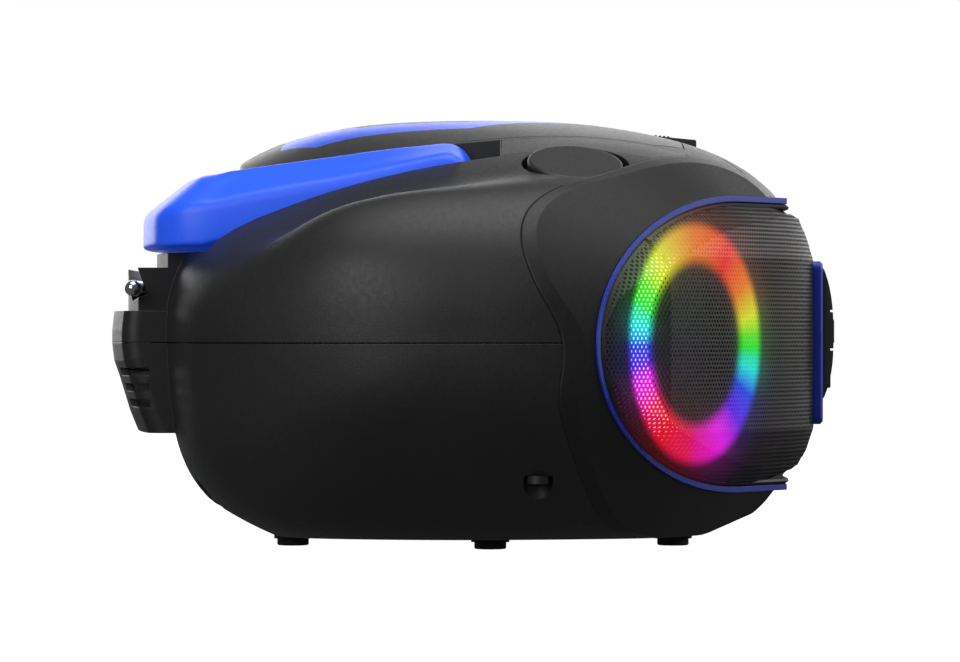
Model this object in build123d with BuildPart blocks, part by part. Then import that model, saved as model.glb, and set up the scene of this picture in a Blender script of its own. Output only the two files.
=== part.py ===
from build123d import *
import math
import os

# ---------------------------------------------------------------------------
# Portable CD radio with two angled speaker pods. Millimetres.
# Frame: origin at the bottom centre of the bounding box, +X to the right hand
# of someone facing the front, -Y is the front, +Z is up.
# ---------------------------------------------------------------------------
WIDTH = 320.0                 # over the two end caps
HALF_W = WIDTH / 2
WALL = 2.4                    # cabinet wall
SPLIT_Z = 64.2                # seam between the upper and lower cabinet
BOTTOM_Z = 3.5                # underside of the lower cabinet, feet below it
CORE = (5.0, 67.0)            # Y, Z centre of the cross sections

# Middle cross section of the cabinet, Y and Z.
SECTION = [(102, 67), (100.8, 85), (96, 103), (88.5, 115.5), (73, 127.2),
           (52, 134.3), (26, 137.6), (-5, 138.0), (-36, 136.4), (-62, 131.8),
           (-84, 123.6), (-100, 109.5), (-106.5, 92), (-108.2, 71), (-107, 48),
           (-101.5, 26), (-90, 9.5), (-68, 0.5), (-36, -2.7), (5, -3.5),
           (42, -2.2), (72, 3.8), (92.5, 21), (99.5, 42)]
# Roundness of the end caps around the section: angle, superellipse power over
# the lid, power beside the handle.
ROUNDNESS = [(-180, 3.2, 3.2), (-135, 3.8, 3.8), (-90, 4.5, 4.5), (-45, 3.9, 3.9),
             (0, 3.3, 3.3), (17, 2.7, 2.68), (22, 2.5, 2.2), (28, 2.28, 1.86),
             (39, 1.85, 1.64), (53, 1.92, 1.61), (69, 1.98, 1.68), (83, 2.05, 1.77),
             (96, 2.1, 1.85), (106, 2.12, 2.1), (120, 2.15, 2.15), (150, 2.5, 2.5), (180, 3.2, 3.2)]
STATIONS = [0, 34, 62, 82, 96.4, 112, 130, 144, 152.5, 157.2, 159.3, 159.93]

# Angled speaker pods
POD_ANGLE = 35.0              # turn of each pod from straight ahead
POD_C = (-110.0, -67.0, 64.0)  # centre of the left driver on its baffle plane
ELL_U, ELL_A = 26.7, 81.4     # half ellipse of the pod outline
POD_TOP, POD_BOT = 110.5, 17.0
SLOPE_SIDE, SLOPE_TOP, SLOPE_BOT = 1.86, 0.87, 1.70
FRONT_Y = -98.6               # flat middle of the front
FRONT_DEPTH = 4.0             # thickness of the front cabinet, front to back
TRIM_W = 1.8                  # width of the coloured trim line
RING_R, RING_RI = 36.0, 26.4  # light ring

# Handle
ARM_IN, ARM_OUT = 77.0, 96.0  # arm, distance from the middle
PIVOT = (14.0, 115.0)         # Y, Z of the handle pivot
PIVOT_R = 4.0
BOW_R = 417.0                 # plan curvature of the grip and of the rear
GRIP_Y = 110.8

# Disc lid
LID_HX = 74.4                 # half width
LID_Y0, LID_Y1 = -66.0, 79.0
LID_PIN = (74.0, 116.0)       # Y, Z of the lid hinge
DISC_WELL_R = 63.0

# Knobs
KNOB_C = (-108.0, -30.5, 120.3)
KNOB_N = (-0.3785, -0.0646, 0.9233)
KNOB_R = 15.0

# Antenna
ANT_P = (80.0, 108.6, 81.4)   # pivot
ANT_TILT = 20.0

# Battery bay
BAY_X, BAY_Y0, BAY_Y1, BAY_Z = 79.5, -13.0, 41.0, 36.0

FEET = [(-105, -4), (105, -4), (-80, -62), (80, -62), (-80, 58.5), (80, 58.5)]
SCREW_SPOTS = [(-142, -18.5), (142, -18.5), (-91, 84), (91, 84), (-40, -76), (40, -76)]

ORIGIN_Y = 1.45               # middle of the overall depth, moved to Y = 0 on export

os.makedirs("parts", exist_ok=True)


# ---------------------------------------------------------------------------
# Shared forms
# ---------------------------------------------------------------------------
def roundness(angle, side):
    """Power at an angle round the section, side going from 0 at the lid to 1."""
    for (a0, n0, m0), (a1, n1, m1) in zip(ROUNDNESS, ROUNDNESS[1:]):
        if a0 <= angle <= a1:
            t = (angle - a0) / (a1 - a0)
            over, beside = n0 + (n1 - n0) * t, m0 + (m1 - m0) * t
            return over + (beside - over) * side


def section_at(x, inset):
    """Cross section points at station x, drawn in by inset."""
    q = max(0.0, min(1.0, (abs(x) - 105) / 50))
    blend = q * q * (3 - 2 * q)
    g = max(0.0, min(1.0, (abs(x) - 45) / 34))
    side = g * g * (3 - 2 * g)
    pts = []
    for y, z in SECTION:
        dy, dz = y - CORE[0], z - CORE[1]
        rad = math.hypot(dy, dz)
        n = roundness(math.degrees(math.atan2(dz, dy)), side)
        n = n + (2.6 - n) * blend
        r = (1 - (abs(x) / (HALF_W - inset)) ** n) ** (1 / n) * (rad - inset)
        pts.append((CORE[0] + dy / rad * r, CORE[1] + dz / rad * r))
    return pts


def underside_cut(inset):
    """Profile of everything below the flat base and its two long chamfers."""
    k = inset
    return [(-160, 36.5 + k), (-70.8, 3.5 + k), (62.7 - 0.4 * k, 3.5 + k),
            (88.7 - 0.6 * k, 16.5 + k), (160, 16.5 + k), (160, -40), (-160, -40)]


def cabinet_form(inset):
    k = (HALF_W - inset) / HALF_W
    xs = [-s * k for s in STATIONS[::-1]] + [s * k for s in STATIONS[1:]]
    with BuildPart() as form:
        for x in xs:
            with BuildSketch(Plane.YZ.offset(x)):
                with BuildLine():
                    Spline(*section_at(x, inset), periodic=True)
                make_face()
        loft()
        with BuildSketch(Plane.YZ.offset(-170)):
            Polygon(*underside_cut(inset), align=None)
        extrude(amount=340, mode=Mode.SUBTRACT)
    return form.part


def bowed(profile, half_angle, rear_y):
    """A YZ profile carried along the gentle plan curve of the rear."""
    ax = Axis((0, rear_y - BOW_R, 0), (0, 0, 1))
    with BuildPart() as solid:
        with BuildSketch(Plane.YZ):
            Polygon(*profile, align=None)
        revolve(axis=ax, revolution_arc=half_angle)
        with BuildSketch(Plane.YZ):
            Polygon(*profile, align=None)
        revolve(axis=ax, revolution_arc=-half_angle)
    return solid.part


def pod_plane(w=0.0):
    """Baffle plane of the left pod, moved w along its outward normal."""
    a = math.radians(POD_ANGLE)
    n = (-math.sin(a), -math.cos(a), 0)
    return Plane(origin=(POD_C[0] + n[0] * w, POD_C[1] + n[1] * w, POD_C[2]),
                 x_dir=(math.cos(a), -math.sin(a), 0), z_dir=n)


def pod_outline(depth, inset=0.0, reach=500.0):
    """Half ellipse run out straight towards the middle, at a depth."""
    top = POD_TOP + SLOPE_TOP * depth - inset - POD_C[2]
    bot = POD_BOT - SLOPE_BOT * depth + inset - POD_C[2]
    a = ELL_A + SLOPE_SIDE * depth - inset
    b, c = (top - bot) / 2, (top + bot) / 2
    with BuildSketch(pod_plane(-depth)) as sk:
        with BuildLine():
            EllipticalCenterArc((ELL_U, c), a, b, start_angle=90, arc_size=180)
            Polyline((ELL_U, bot), (reach, bot), (reach, top), (ELL_U, top))
        make_face()
    return sk.sketch


def nose_form(dy):
    """Convex nose: two angled pods and the flat middle, moved back by dy."""
    with BuildPart() as pod:
        add(pod_outline(0))
        add(pod_outline(340))
        loft(ruled=True)
    with BuildPart() as nose:
        with BuildSketch(Plane.YZ.offset(-170)):
            Polygon((FRONT_Y, POD_TOP), (FRONT_Y, POD_BOT),
                    (140, POD_BOT - SLOPE_BOT * 238.6), (140, POD_TOP + SLOPE_TOP * 238.6),
                    align=None)
        extrude(amount=340)
        add(pod.part, mode=Mode.INTERSECT)
        mirror(pod.part, about=Plane.YZ, mode=Mode.INTERSECT)
    return nose.part.moved(Location((0, dy, 0)))


outer = cabinet_form(0)
inner = cabinet_form(WALL)
lining = cabinet_form(WALL + 1.8)
nose = nose_form(0)
nose_back = nose_form(FRONT_DEPTH)
nose_clear = nose_form(FRONT_DEPTH + 0.15)

# Rear bulge: lower battery and vent housing and the stepped ledge above it.
BULGE = [(80, 35.6), (112.6, 35.6), (115.2, 42), (118.7, 53.5), (120.4, 58.4),
         (121.1, 64), (121.1, 68.2), (120.4, 74.3), (80, 74.3)]
LEDGE = [(80, 73), (115.8, 73), (115.8, 88.0), (106.4, 88.0), (106.4, 92.8), (80, 92.8)]
BULGE_IN = [(70, 38), (111, 38), (112.8, 42.8), (116.3, 54.2), (117.9, 58.8),
            (118.6, 64), (118.6, 68), (118.1, 71.9), (70, 71.9)]
LEDGE_IN = [(70, 70), (102.8, 70), (102.8, 90.4), (70, 90.4)]

with BuildPart() as rear_bulge:
    add(bowed(BULGE, 12.2, 121.1))
    ends = rear_bulge.edges().filter_by(
        lambda e: abs(e.center().X) > 80 and e.center().Y > 106 and e.length > 2
        and abs(e.tangent_at(0.5).Z) > 0.8)
    fillet(ends, radius=5)
    add(bowed(LEDGE, 11.6, 121.1))
with BuildPart() as rear_void:
    add(bowed(BULGE_IN, 11.75, 121.1))
    add(bowed(LEDGE_IN, 11.2, 121.1))


# Plan outline of the lid and of its opening, grown by g.
def lid_plan(g):
    with BuildSketch(Plane.XY.offset(95)) as sk:
        with BuildLine():
            x, y0, y1 = LID_HX + g, LID_Y0 - g, LID_Y1 + g
            Polyline((-x, y1 - 7), (-x, y0 + 10), (-x + 10, y0), (-13 - g, y0),
                     (-11 - g, y0 - 7), (11 + g, y0 - 7), (13 + g, y0), (x - 10, y0),
                     (x, y0 + 10), (x, y1 - 7))
            ThreePointArc((x, y1 - 7), (0, y1), (-x, y1 - 7))
        make_face()
    return sk.sketch


def lid_prism(g, low, high):
    with BuildPart() as prism:
        add(lid_plan(g))
        extrude(amount=high - low)
    return prism.part.moved(Location((0, 0, low - 95)))


def yz_prism(profile, x0, x1):
    with BuildPart() as prism:
        with BuildSketch(Plane.YZ.offset(x0)):
            Polygon(*profile, align=None)
        extrude(amount=x1 - x0)
    return prism.part


# Handle channel, cut and its lining
CHANNEL = [(-7.2, 150), (-7.2, 99.2), (29.5, 99.2), (29.5, 108.2), (41, 107.2),
           (56, 102.2), (72, 96.2), (86, 92.8), (130, 92.8), (130, 150)]
CHANNEL_WALL = [(-9.4, 150), (-9.4, 97.0), (31.7, 97.0), (31.7, 105.9), (41, 105),
                (56, 100), (72, 94), (84, 90.4), (104, 90.4), (104, 150)]
# Recess behind the lid where the folded grip lies
RECESS = [(81.0, 92.8), (130, 92.8), (130, 150), (81.0, 150)]
RECESS_WALL = [(78.6, 90.4), (104, 90.4), (104, 150), (78.6, 150)]
STRIP = [(-66.5, 90), (-7.6, 90), (-7.6, 150), (-66.5, 150)]
knob_plane = Plane(origin=KNOB_C, z_dir=KNOB_N)


def knob_cyl(radius, z0, z1):
    with BuildPart() as cyl:
        with BuildSketch(knob_plane.offset(z0)):
            Circle(radius)
        extrude(amount=z1 - z0)
    return cyl.part


def both_sides(shape):
    """The shape and its mirror image about the middle plane."""
    with BuildPart() as pair:
        add(shape)
        mirror(shape, about=Plane.YZ)
    return pair.part


channels = both_sides(yz_prism(CHANNEL, -96.4, -76.6))
channel_walls = both_sides(yz_prism(CHANNEL_WALL, -98.6, -74.6))
grip_recess = bowed(RECESS, 13.4, 81.0)
grip_recess_wall = bowed(RECESS_WALL, 13.7, 81.0)
strip_zone = both_sides(yz_prism(STRIP, -95.9, -77.1))
strip_bed = both_sides(yz_prism([(-68.5, 90), (-7, 90), (-7, 150), (-68.5, 150)], -98, -75.6))
knob_wells = both_sides(knob_cyl(KNOB_R + 1.8, -6.2, 12))
knob_beds = both_sides(knob_cyl(KNOB_R + 3.8, -8.4, 3))


def slab(x0, x1, y0, y1, z0, z1):
    with BuildPart() as blk:
        with BuildSketch(Plane.XY.offset(z0)):
            with Locations(((x0 + x1) / 2, (y0 + y1) / 2)):
                Rectangle(x1 - x0, y1 - y0)
        extrude(amount=z1 - z0)
    return blk.part


def pillar(spots, radius, z0, z1):
    with BuildPart() as posts:
        with BuildSketch(Plane.XY.offset(z0)):
            with Locations(*spots):
                Circle(radius)
        extrude(amount=z1 - z0)
    return posts.part


def save(node, name):
    node.part.label = name
    placed = node.part.moved(Location((0, -ORIGIN_Y, 0)))
    placed.label = name
    export_step(placed, "parts/" + name + ".step")


# Skin of the cabinet and the thin layer under it
with BuildPart() as skin:
    add(outer)
    add(rear_bulge.part)
    add(inner, mode=Mode.SUBTRACT)
    add(rear_void.part, mode=Mode.SUBTRACT)
with BuildPart() as skin_back:
    add(skin.part)
    add(nose_clear, mode=Mode.INTERSECT)
with BuildPart() as under_skin:
    add(inner)
    add(lining, mode=Mode.SUBTRACT)

ant_plane = Plane(origin=ANT_P, x_dir=(-1, 0, 0),
                  z_dir=(0, math.cos(math.radians(ANT_TILT)), -math.sin(math.radians(ANT_TILT))))

# ---------------------------------------------------------------------------
# Upper cabinet: top shell with the lid opening, handle channels, knob wells,
# the recess behind the lid and the ledge that the aerial lies in
# ---------------------------------------------------------------------------
with BuildPart() as trough:
    add(channel_walls)
    add(grip_recess_wall)
    add(knob_beds)
    add(outer, mode=Mode.INTERSECT)
    add(nose_clear, mode=Mode.INTERSECT)
with BuildPart() as strip_floor:
    add(strip_bed)
    add(under_skin.part, mode=Mode.INTERSECT)
    add(nose_clear, mode=Mode.INTERSECT)
with BuildPart() as hinge_tabs:
    with BuildSketch(Plane.YZ.offset(35.5)):
        with Locations(LID_PIN):
            Circle(3.3)
        Polygon((LID_PIN[0] - 3.3, LID_PIN[1]), (LID_PIN[0] + 3.3, LID_PIN[1]),
                (79.5, 107), (79.5, 96), (76, 96), (LID_PIN[0] - 3.3, 106), align=None)
    extrude(amount=4)
    mirror(about=Plane.YZ)
with BuildPart() as upper_cabinet:
    add(skin_back.part)
    add(trough.part)
    add(strip_floor.part)
    # lid opening through the skin
    add(lid_prism(0.5, 109, 150), mode=Mode.SUBTRACT)
    add(slab(-74, 74, 70, 90, 108.6, 150), mode=Mode.SUBTRACT)
    add(channels, mode=Mode.SUBTRACT)
    add(grip_recess, mode=Mode.SUBTRACT)
    # thumb scoop under the grip
    add(slab(-35, 35, 84.5, 104.6, 87.5, 95), mode=Mode.SUBTRACT)
    # openings for the flush strips, then the knob wells
    with BuildPart(mode=Mode.PRIVATE) as strip_cut:
        add(strip_zone)
        add(skin.part, mode=Mode.INTERSECT)
    add(strip_cut.part, mode=Mode.SUBTRACT)
    add(knob_wells, mode=Mode.SUBTRACT)
    add(both_sides(knob_cyl(3.3, -12, 0)), mode=Mode.SUBTRACT)
    # hinge tabs for the lid
    add(hinge_tabs.part)
    with BuildSketch(Plane.YZ.offset(-50)):
        with Locations(LID_PIN):
            Circle(1.5)
    extrude(amount=100, mode=Mode.SUBTRACT)
    # handle pivot holes in the inner channel walls
    with BuildSketch(Plane.YZ.offset(-77)):
        with Locations(PIVOT):
            Circle(PIVOT_R)
    extrude(amount=154, mode=Mode.SUBTRACT)
    # aerial groove with a drafted rear lip, and the bay of its foot
    with BuildSketch(ant_plane.offset(-3.1)):
        with Locations((95, 9.4)):
            Rectangle(230, 25)
    extrude(amount=6.2, mode=Mode.SUBTRACT)
    add(slab(71, 95, 103.2, 125, 74.3, 88.4), mode=Mode.SUBTRACT)
    # bosses for the case screws
    with BuildPart(mode=Mode.PRIVATE) as bosses:
        add(pillar(SCREW_SPOTS[:2], 5, SPLIT_Z, 110))
        add(pillar(SCREW_SPOTS[2:4], 5, SPLIT_Z, 91))
        add(pillar(SCREW_SPOTS[4:], 5, SPLIT_Z, 125))
        add(outer, mode=Mode.INTERSECT)
        add(nose_clear, mode=Mode.INTERSECT)
    add(bosses.part)
    add(pillar(SCREW_SPOTS, 1.5, SPLIT_Z - 1, 82), mode=Mode.SUBTRACT)
    # keep the part above the seam and behind the nose
    with BuildSketch(Plane.XY.offset(SPLIT_Z + 0.12)):
        Rectangle(400, 400)
    extrude(amount=100, mode=Mode.INTERSECT)
save(upper_cabinet, "upper_cabinet")

# ---------------------------------------------------------------------------
# Lower cabinet: bottom shell with the battery bay, screw wells, vents
# ---------------------------------------------------------------------------
with BuildPart() as lower_cabinet:
    add(skin_back.part)
    with BuildPart(mode=Mode.PRIVATE) as inside:
        add(pillar(SCREW_SPOTS, 6.9, 0, 33))
        add(pillar(SCREW_SPOTS, 5, 32, SPLIT_Z))
        add(slab(-BAY_X - 2, BAY_X + 2, BAY_Y0 - 2, BAY_Y1 + 2, 3.5, BAY_Z + 2))
        add(slab(-72, -26, 48, 76, 4, 22))
        add(pillar([(-60, -8), (60, -8), (-60, 36), (60, 36)], 3, BAY_Z, 44))
        add(outer, mode=Mode.INTERSECT)
    add(inside.part)
    add(slab(-70, -28, 50, 74, 0, 20), mode=Mode.SUBTRACT)
    add(pillar(SCREW_SPOTS[:2], 4.5, -1, 24), mode=Mode.SUBTRACT)
    add(pillar(SCREW_SPOTS[2:], 4.5, -1, 31), mode=Mode.SUBTRACT)
    add(pillar(SCREW_SPOTS, 1.8, 23, 70), mode=Mode.SUBTRACT)
    add(slab(-BAY_X, BAY_X, BAY_Y0, BAY_Y1, 0, BAY_Z), mode=Mode.SUBTRACT)
    # floor closed again under the transformer plinth
    add(slab(-72, -26, 48, 62.7, 3.5, 5.9))
    # vents at both ends of the rear bulge
    for vz in (45.0, 50.0, 55.0):
        add(slab(-95, -62, 103.5, 124, vz - 1.2, vz + 1.2), mode=Mode.SUBTRACT)
        add(slab(62, 95, 103.5, 124, vz - 1.2, vz + 1.2), mode=Mode.SUBTRACT)
    # opening of the mains inlet
    add(slab(50, 74, 70, 110, 19.5, 32.5), mode=Mode.SUBTRACT)
    with BuildPart(mode=Mode.PRIVATE) as below_seam:
        add(slab(-200, 200, -200, 103, -50, SPLIT_Z - 0.12))
        add(slab(-200, 200, 103, 200, -50, SPLIT_Z + 0.12))
    add(below_seam.part, mode=Mode.INTERSECT)
    # inner lip that lines up the two shells
    with BuildPart(mode=Mode.PRIVATE) as lip:
        add(under_skin.part)
        add(slab(-170, 170, -130, 130, SPLIT_Z - 6, SPLIT_Z + 4.5), mode=Mode.INTERSECT)
        add(nose_clear, mode=Mode.INTERSECT)
    add(lip.part)
save(lower_cabinet, "lower_cabinet")

# ---------------------------------------------------------------------------
# Front cabinet: the layer that carries both pods and the console
# ---------------------------------------------------------------------------


def pod_face(inset, w, reach):
    """Outline of the pod face, unscaled, on the plane w in front of it."""
    top, bot = POD_TOP - inset - POD_C[2], POD_BOT + inset - POD_C[2]
    b, c = (top - bot) / 2, (top + bot) / 2
    with BuildSketch(pod_plane(w)) as sk:
        with BuildLine():
            EllipticalCenterArc((ELL_U, c), ELL_A - inset, b, start_angle=90, arc_size=180)
            Polyline((ELL_U, bot), (reach, bot), (reach, top), (ELL_U, top))
        make_face()
    return sk.sketch


def pod_block(inset, w0, w1, reach):
    with BuildPart() as block:
        extrude(pod_face(inset, w0, reach), amount=w1 - w0, dir=pod_plane().z_dir)
    return block.part


def on_pods(shape):
    """Places a shape, drawn about +Z, on both pods."""
    return both_sides(shape.moved(pod_plane().location))


def ring_shape(profile):
    """Turned shape from radius, height points."""
    with BuildPart() as turned:
        with BuildSketch(Plane.XZ):
            Polygon(*profile, align=None)
        revolve(axis=Axis.Z)
    return turned.part


u_mid = (-FRONT_Y + POD_C[1]) / math.sin(math.radians(POD_ANGLE))
x_mid = -POD_C[0] - u_mid * math.cos(math.radians(POD_ANGLE))
with BuildPart() as pod_trim:
    add(pod_block(0, -1.4, 0.6, u_mid))
    add(pod_block(TRIM_W, -3, 3, u_mid + 10), mode=Mode.SUBTRACT)
with BuildPart() as front_trim:
    add(pod_trim.part)
    mirror(pod_trim.part, about=Plane.YZ)
    add(slab(-x_mid, x_mid, FRONT_Y - 0.6, FRONT_Y + 1.4, POD_TOP - TRIM_W, POD_TOP))
    add(slab(-x_mid, x_mid, FRONT_Y - 0.6, FRONT_Y + 1.4, POD_BOT, POD_BOT + TRIM_W))
save(front_trim, "front_trim")

with BuildPart() as front_cabinet:
    add(outer)
    add(nose, mode=Mode.INTERSECT)
    add(nose_back, mode=Mode.SUBTRACT)
    add(front_trim.part, mode=Mode.SUBTRACT)
    add(on_pods(ring_shape([(0, -8), (RING_R, -8), (RING_R, 4), (0, 4)])), mode=Mode.SUBTRACT)
    add(slab(-44, 44, -110, -90, 46, 84), mode=Mode.SUBTRACT)
    add(slab(-26.6, -13.4, -110, -90, 40, 45.7), mode=Mode.SUBTRACT)
    with BuildSketch(Plane.XZ.offset(90)):
        with Locations((8, 42.8), (24, 42.8)):
            Circle(3)
    extrude(amount=20, mode=Mode.SUBTRACT)
save(front_cabinet, "front_cabinet")

# ---------------------------------------------------------------------------
# Grilles: one bent sheet per side, meeting behind the console
# ---------------------------------------------------------------------------
GRILLE_PLAN = [(-140, -59), (-125, -71.5), (-110, -82.5), (-95, -92), (-80, -99.5),
               (-65, -105.3), (-50, -109), (-25, -111), (0, -111.6), (3, -111.57)]
GRILLE_RISE = [(17.9, 13.0), (19, 11.9), (24.3, 4.6), (29.8, 2.1), (36.6, 0.3), (64, 0),
               (90.9, 0.3), (97.3, 2.0), (104.3, 4.1), (108.5, 10.6), (109.2, 11.8)]
GRILLE_T = 1.0
with BuildPart() as grille_form:
    for gz, gy in GRILLE_RISE:
        with BuildSketch(Plane.XY.offset(gz)):
            with BuildLine():
                pts = [(x, y + gy) for x, y in GRILLE_PLAN]
                Line((-154.8, -35.6 + gy), pts[0])
                Spline(*pts)
                Polyline(pts[-1], (3, -15), (-154.8, -15), (-154.8, -35.6 + gy))
            make_face()
    loft(ruled=True)
with BuildPart() as grille_limit:
    add(pod_face(TRIM_W + 0.1, 0, 150))
    add(pod_face(TRIM_W + 0.1 + 0.7 * 20, 20, 150))
    loft(ruled=True)
    add(pod_block(TRIM_W + 0.1, -60, 0, 150))
with BuildPart() as grille_fill:
    add(grille_form.part)
    add(grille_limit.part, mode=Mode.INTERSECT)
n_pod = pod_plane().z_dir
with BuildPart() as left_grille:
    add(grille_fill.part)
    add(grille_fill.part.moved(Location(-n_pod * GRILLE_T)), mode=Mode.SUBTRACT)
    add(nose, mode=Mode.SUBTRACT)
    add(slab(-52.2, 10, -130, -80, 37.5, 90.7), mode=Mode.SUBTRACT)
    add(slab(-0.2, 10, -130, -80, 0, 130), mode=Mode.SUBTRACT)
save(left_grille, "left_grille")
with BuildPart() as right_grille:
    mirror(left_grille.part, about=Plane.YZ)
save(right_grille, "right_grille")

# ---------------------------------------------------------------------------
# Console in the middle of the front: frame, panel, display, keys, sockets
# ---------------------------------------------------------------------------
with BuildPart() as console_frame:
    add(slab(-52, 52, -111.8, FRONT_Y, 37.7, 90.5))
    fillet(console_frame.edges().filter_by(Axis.Y), radius=2.5)
    chamfer(console_frame.faces().sort_by(Axis.Y)[0].edges(), length=0.8)
    add(slab(-48.5, 48.5, -120, -103, 39.9, 88.3), mode=Mode.SUBTRACT)
    add(slab(-44, 44, -110, -95, 46, 84), mode=Mode.SUBTRACT)
    add(slab(-26.6, -13.4, -110, -95, 40, 45.7), mode=Mode.SUBTRACT)
    with BuildSketch(Plane.XZ.offset(95)):
        with Locations((8, 42.8), (24, 42.8)):
            Circle(3)
    extrude(amount=15, mode=Mode.SUBTRACT)
save(console_frame, "console_frame")

PANEL_FRONT = [(-112.3, 88.2), (-114.2, 82), (-115.2, 75), (-115.5, 66),
               (-115.2, 58), (-114.0, 51), (-112.2, 46)]


def panel_form(back, lift, half):
    """Convex console block: rear at back, front moved in by lift."""
    with BuildPart() as block:
        with BuildSketch(Plane.YZ.offset(-half)):
            with BuildLine():
                Spline(*[(y + lift, z) for y, z in PANEL_FRONT])
                Polyline((PANEL_FRONT[-1][0] + lift, 46), (back, 46), (back, 88.2),
                         (PANEL_FRONT[0][0] + lift, 88.2))
            make_face()
        extrude(amount=2 * half)
    return block.part


KEYS = {  # name: x, z, width, height, front Y, flange Y
    "stop_key": (-37.2, 67.75, 16.6, 8.6, -116.0, -113.0),
    "back_key": (-18.6, 67.75, 16.6, 8.6, -116.0, -113.0),
    "play_key": (0.0, 67.75, 16.6, 8.6, -116.0, -113.0),
    "next_key": (18.6, 67.75, 16.6, 8.6, -116.0, -113.0),
    "mode_key": (37.2, 67.75, 16.6, 8.6, -116.0, -113.0),
    "power_button": (0.0, 59.3, 18.0, 3.8, -118.2, -112.6),
    "source_key": (-27.0, 52.7, 30.0, 7.4, -115.1, -110.4),
    "light_key": (27.0, 52.7, 30.0, 7.4, -115.1, -110.4),
}
KEY_TRAVEL = 0.8
with BuildPart() as console_panel:
    add(panel_form(-103.05, 0, 48.3))
    fillet(console_panel.edges().filter_by(Axis.Y).group_by(Axis.X)[0], radius=1.0)
    with BuildPart(mode=Mode.PRIVATE) as hollow:
        add(panel_form(-90, 2.2, 46.3))
        add(slab(-50, 50, -125, -80, 48.0, 86.0), mode=Mode.INTERSECT)
    add(hollow.part, mode=Mode.SUBTRACT)
    add(slab(-33, 33, -125, -106, 76.4, 84.8), mode=Mode.SUBTRACT)
    for gz in (74.4, 61.9):
        add(slab(-50, 50, -125, -114.4, gz - 0.35, gz + 0.35), mode=Mode.SUBTRACT)
    for kx, kz, kw, kh, kf, kb in KEYS.values():
        add(slab(kx - kw / 2, kx + kw / 2, -125, -106, kz - kh / 2, kz + kh / 2),
            mode=Mode.SUBTRACT)
save(console_panel, "console_panel")

with BuildPart() as display_lens:
    add(panel_form(-103.05, 0, 48.3))
    add(panel_form(-90, 1.6, 49), mode=Mode.SUBTRACT)
    add(slab(-33, 33, -125, -106, 76.4, 84.8), mode=Mode.INTERSECT)
save(display_lens, "display_lens")
with BuildPart() as lcd_module:
    add(slab(-36, 36, -110.2, -106, 75.6, 85.8))
    add(slab(-32, 32, -111, -109.7, 77.4, 83.8), mode=Mode.SUBTRACT)
save(lcd_module, "lcd_module")

for key_name, (kx, kz, kw, kh, kf, kb) in KEYS.items():
    with BuildPart() as key:
        add(slab(kx - kw / 2 + 0.35, kx + kw / 2 - 0.35, kf, kb + 1.0,
                 kz - kh / 2 + 0.35, kz + kh / 2 - 0.35))
        fillet(key.faces().sort_by(Axis.Y)[0].edges(), radius=0.6)
        add(slab(kx - kw / 2 - 0.6, kx + kw / 2 + 0.6, kb, kb + 1.0,
                 kz - kh / 2 - 0.6, kz + kh / 2 + 0.6))
        add(slab(kx - 2, kx + 2, kb + 0.5, -107.5, kz - 1.5, kz + 1.5))
    save(key, key_name)

with BuildPart() as key_board:
    add(slab(-45.8, 45.8, -106, -104.6, 48.4, 85.7))
    for kx, kz, kw, kh, kf, kb in KEYS.values():
        add(slab(kx - 2, kx + 2, -106.55, -106, kz - 1.5, kz + 1.5))
    add(slab(-20, 20, -104.6, -103.4, 52, 60))
save(key_board, "key_board")

with BuildPart() as usb_socket:
    add(slab(-26.6, -13.4, -107.5, -94, 40, 45.7))
    add(slab(-26.25, -13.75, -109, -95, 40.4, 45.3), mode=Mode.SUBTRACT)
save(usb_socket, "usb_socket")
with BuildPart() as audio_jacks:
    with BuildSketch(Plane.XZ.offset(93)):
        with Locations((8, 42.8), (24, 42.8)):
            Circle(3)
            Circle(1.8, mode=Mode.SUBTRACT)
    extrude(amount=12.5)
    with BuildSketch(Plane.XZ.offset(91)):
        with Locations((8, 42.8), (24, 42.8)):
            Rectangle(9, 7)
    extrude(amount=2.0)
    with BuildSketch(Plane.XZ.offset(92)):
        with Locations((8, 42.8), (24, 42.8)):
            Circle(1.8)
    extrude(amount=3.0, mode=Mode.SUBTRACT)
save(audio_jacks, "audio_jacks")

# ---------------------------------------------------------------------------
# Flush strips in front of the handle channels, knobs and what they turn
# ---------------------------------------------------------------------------
with BuildPart() as left_strip:
    add(yz_prism([(-66.3, 90), (-7.8, 90), (-7.8, 150), (-66.3, 150)], -95.7, -77.3))
    add(skin_back.part, mode=Mode.INTERSECT)
    add(knob_cyl(KNOB_R + 1.85, -8, 12), mode=Mode.SUBTRACT)
with BuildPart() as channel_strips:
    add(left_strip.part)
    mirror(left_strip.part, about=Plane.YZ)
save(channel_strips, "channel_strips")

with BuildPart() as volume_knob:
    with BuildSketch(knob_plane.offset(-4.9)):
        Circle(KNOB_R)
    extrude(amount=5.3)
    fillet(volume_knob.faces().sort_by(Axis(KNOB_C, KNOB_N))[-1].edges(), radius=1.2)
    with BuildSketch(knob_plane.offset(-13.4)):
        Circle(3.0)
    extrude(amount=9)
save(volume_knob, "volume_knob")
with BuildPart() as tuning_knob:
    mirror(volume_knob.part, about=Plane.YZ)
save(tuning_knob, "tuning_knob")
with BuildPart() as rotary_control:
    with BuildSketch(knob_plane.offset(-15.6)):
        Circle(8.5)
    extrude(amount=7.2)
    with BuildSketch(knob_plane.offset(-13.8)):
        Circle(3.08)
    extrude(amount=9, mode=Mode.SUBTRACT)
with BuildPart() as rotary_controls:
    add(rotary_control.part)
    mirror(rotary_control.part, about=Plane.YZ)
save(rotary_controls, "rotary_controls")

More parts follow.
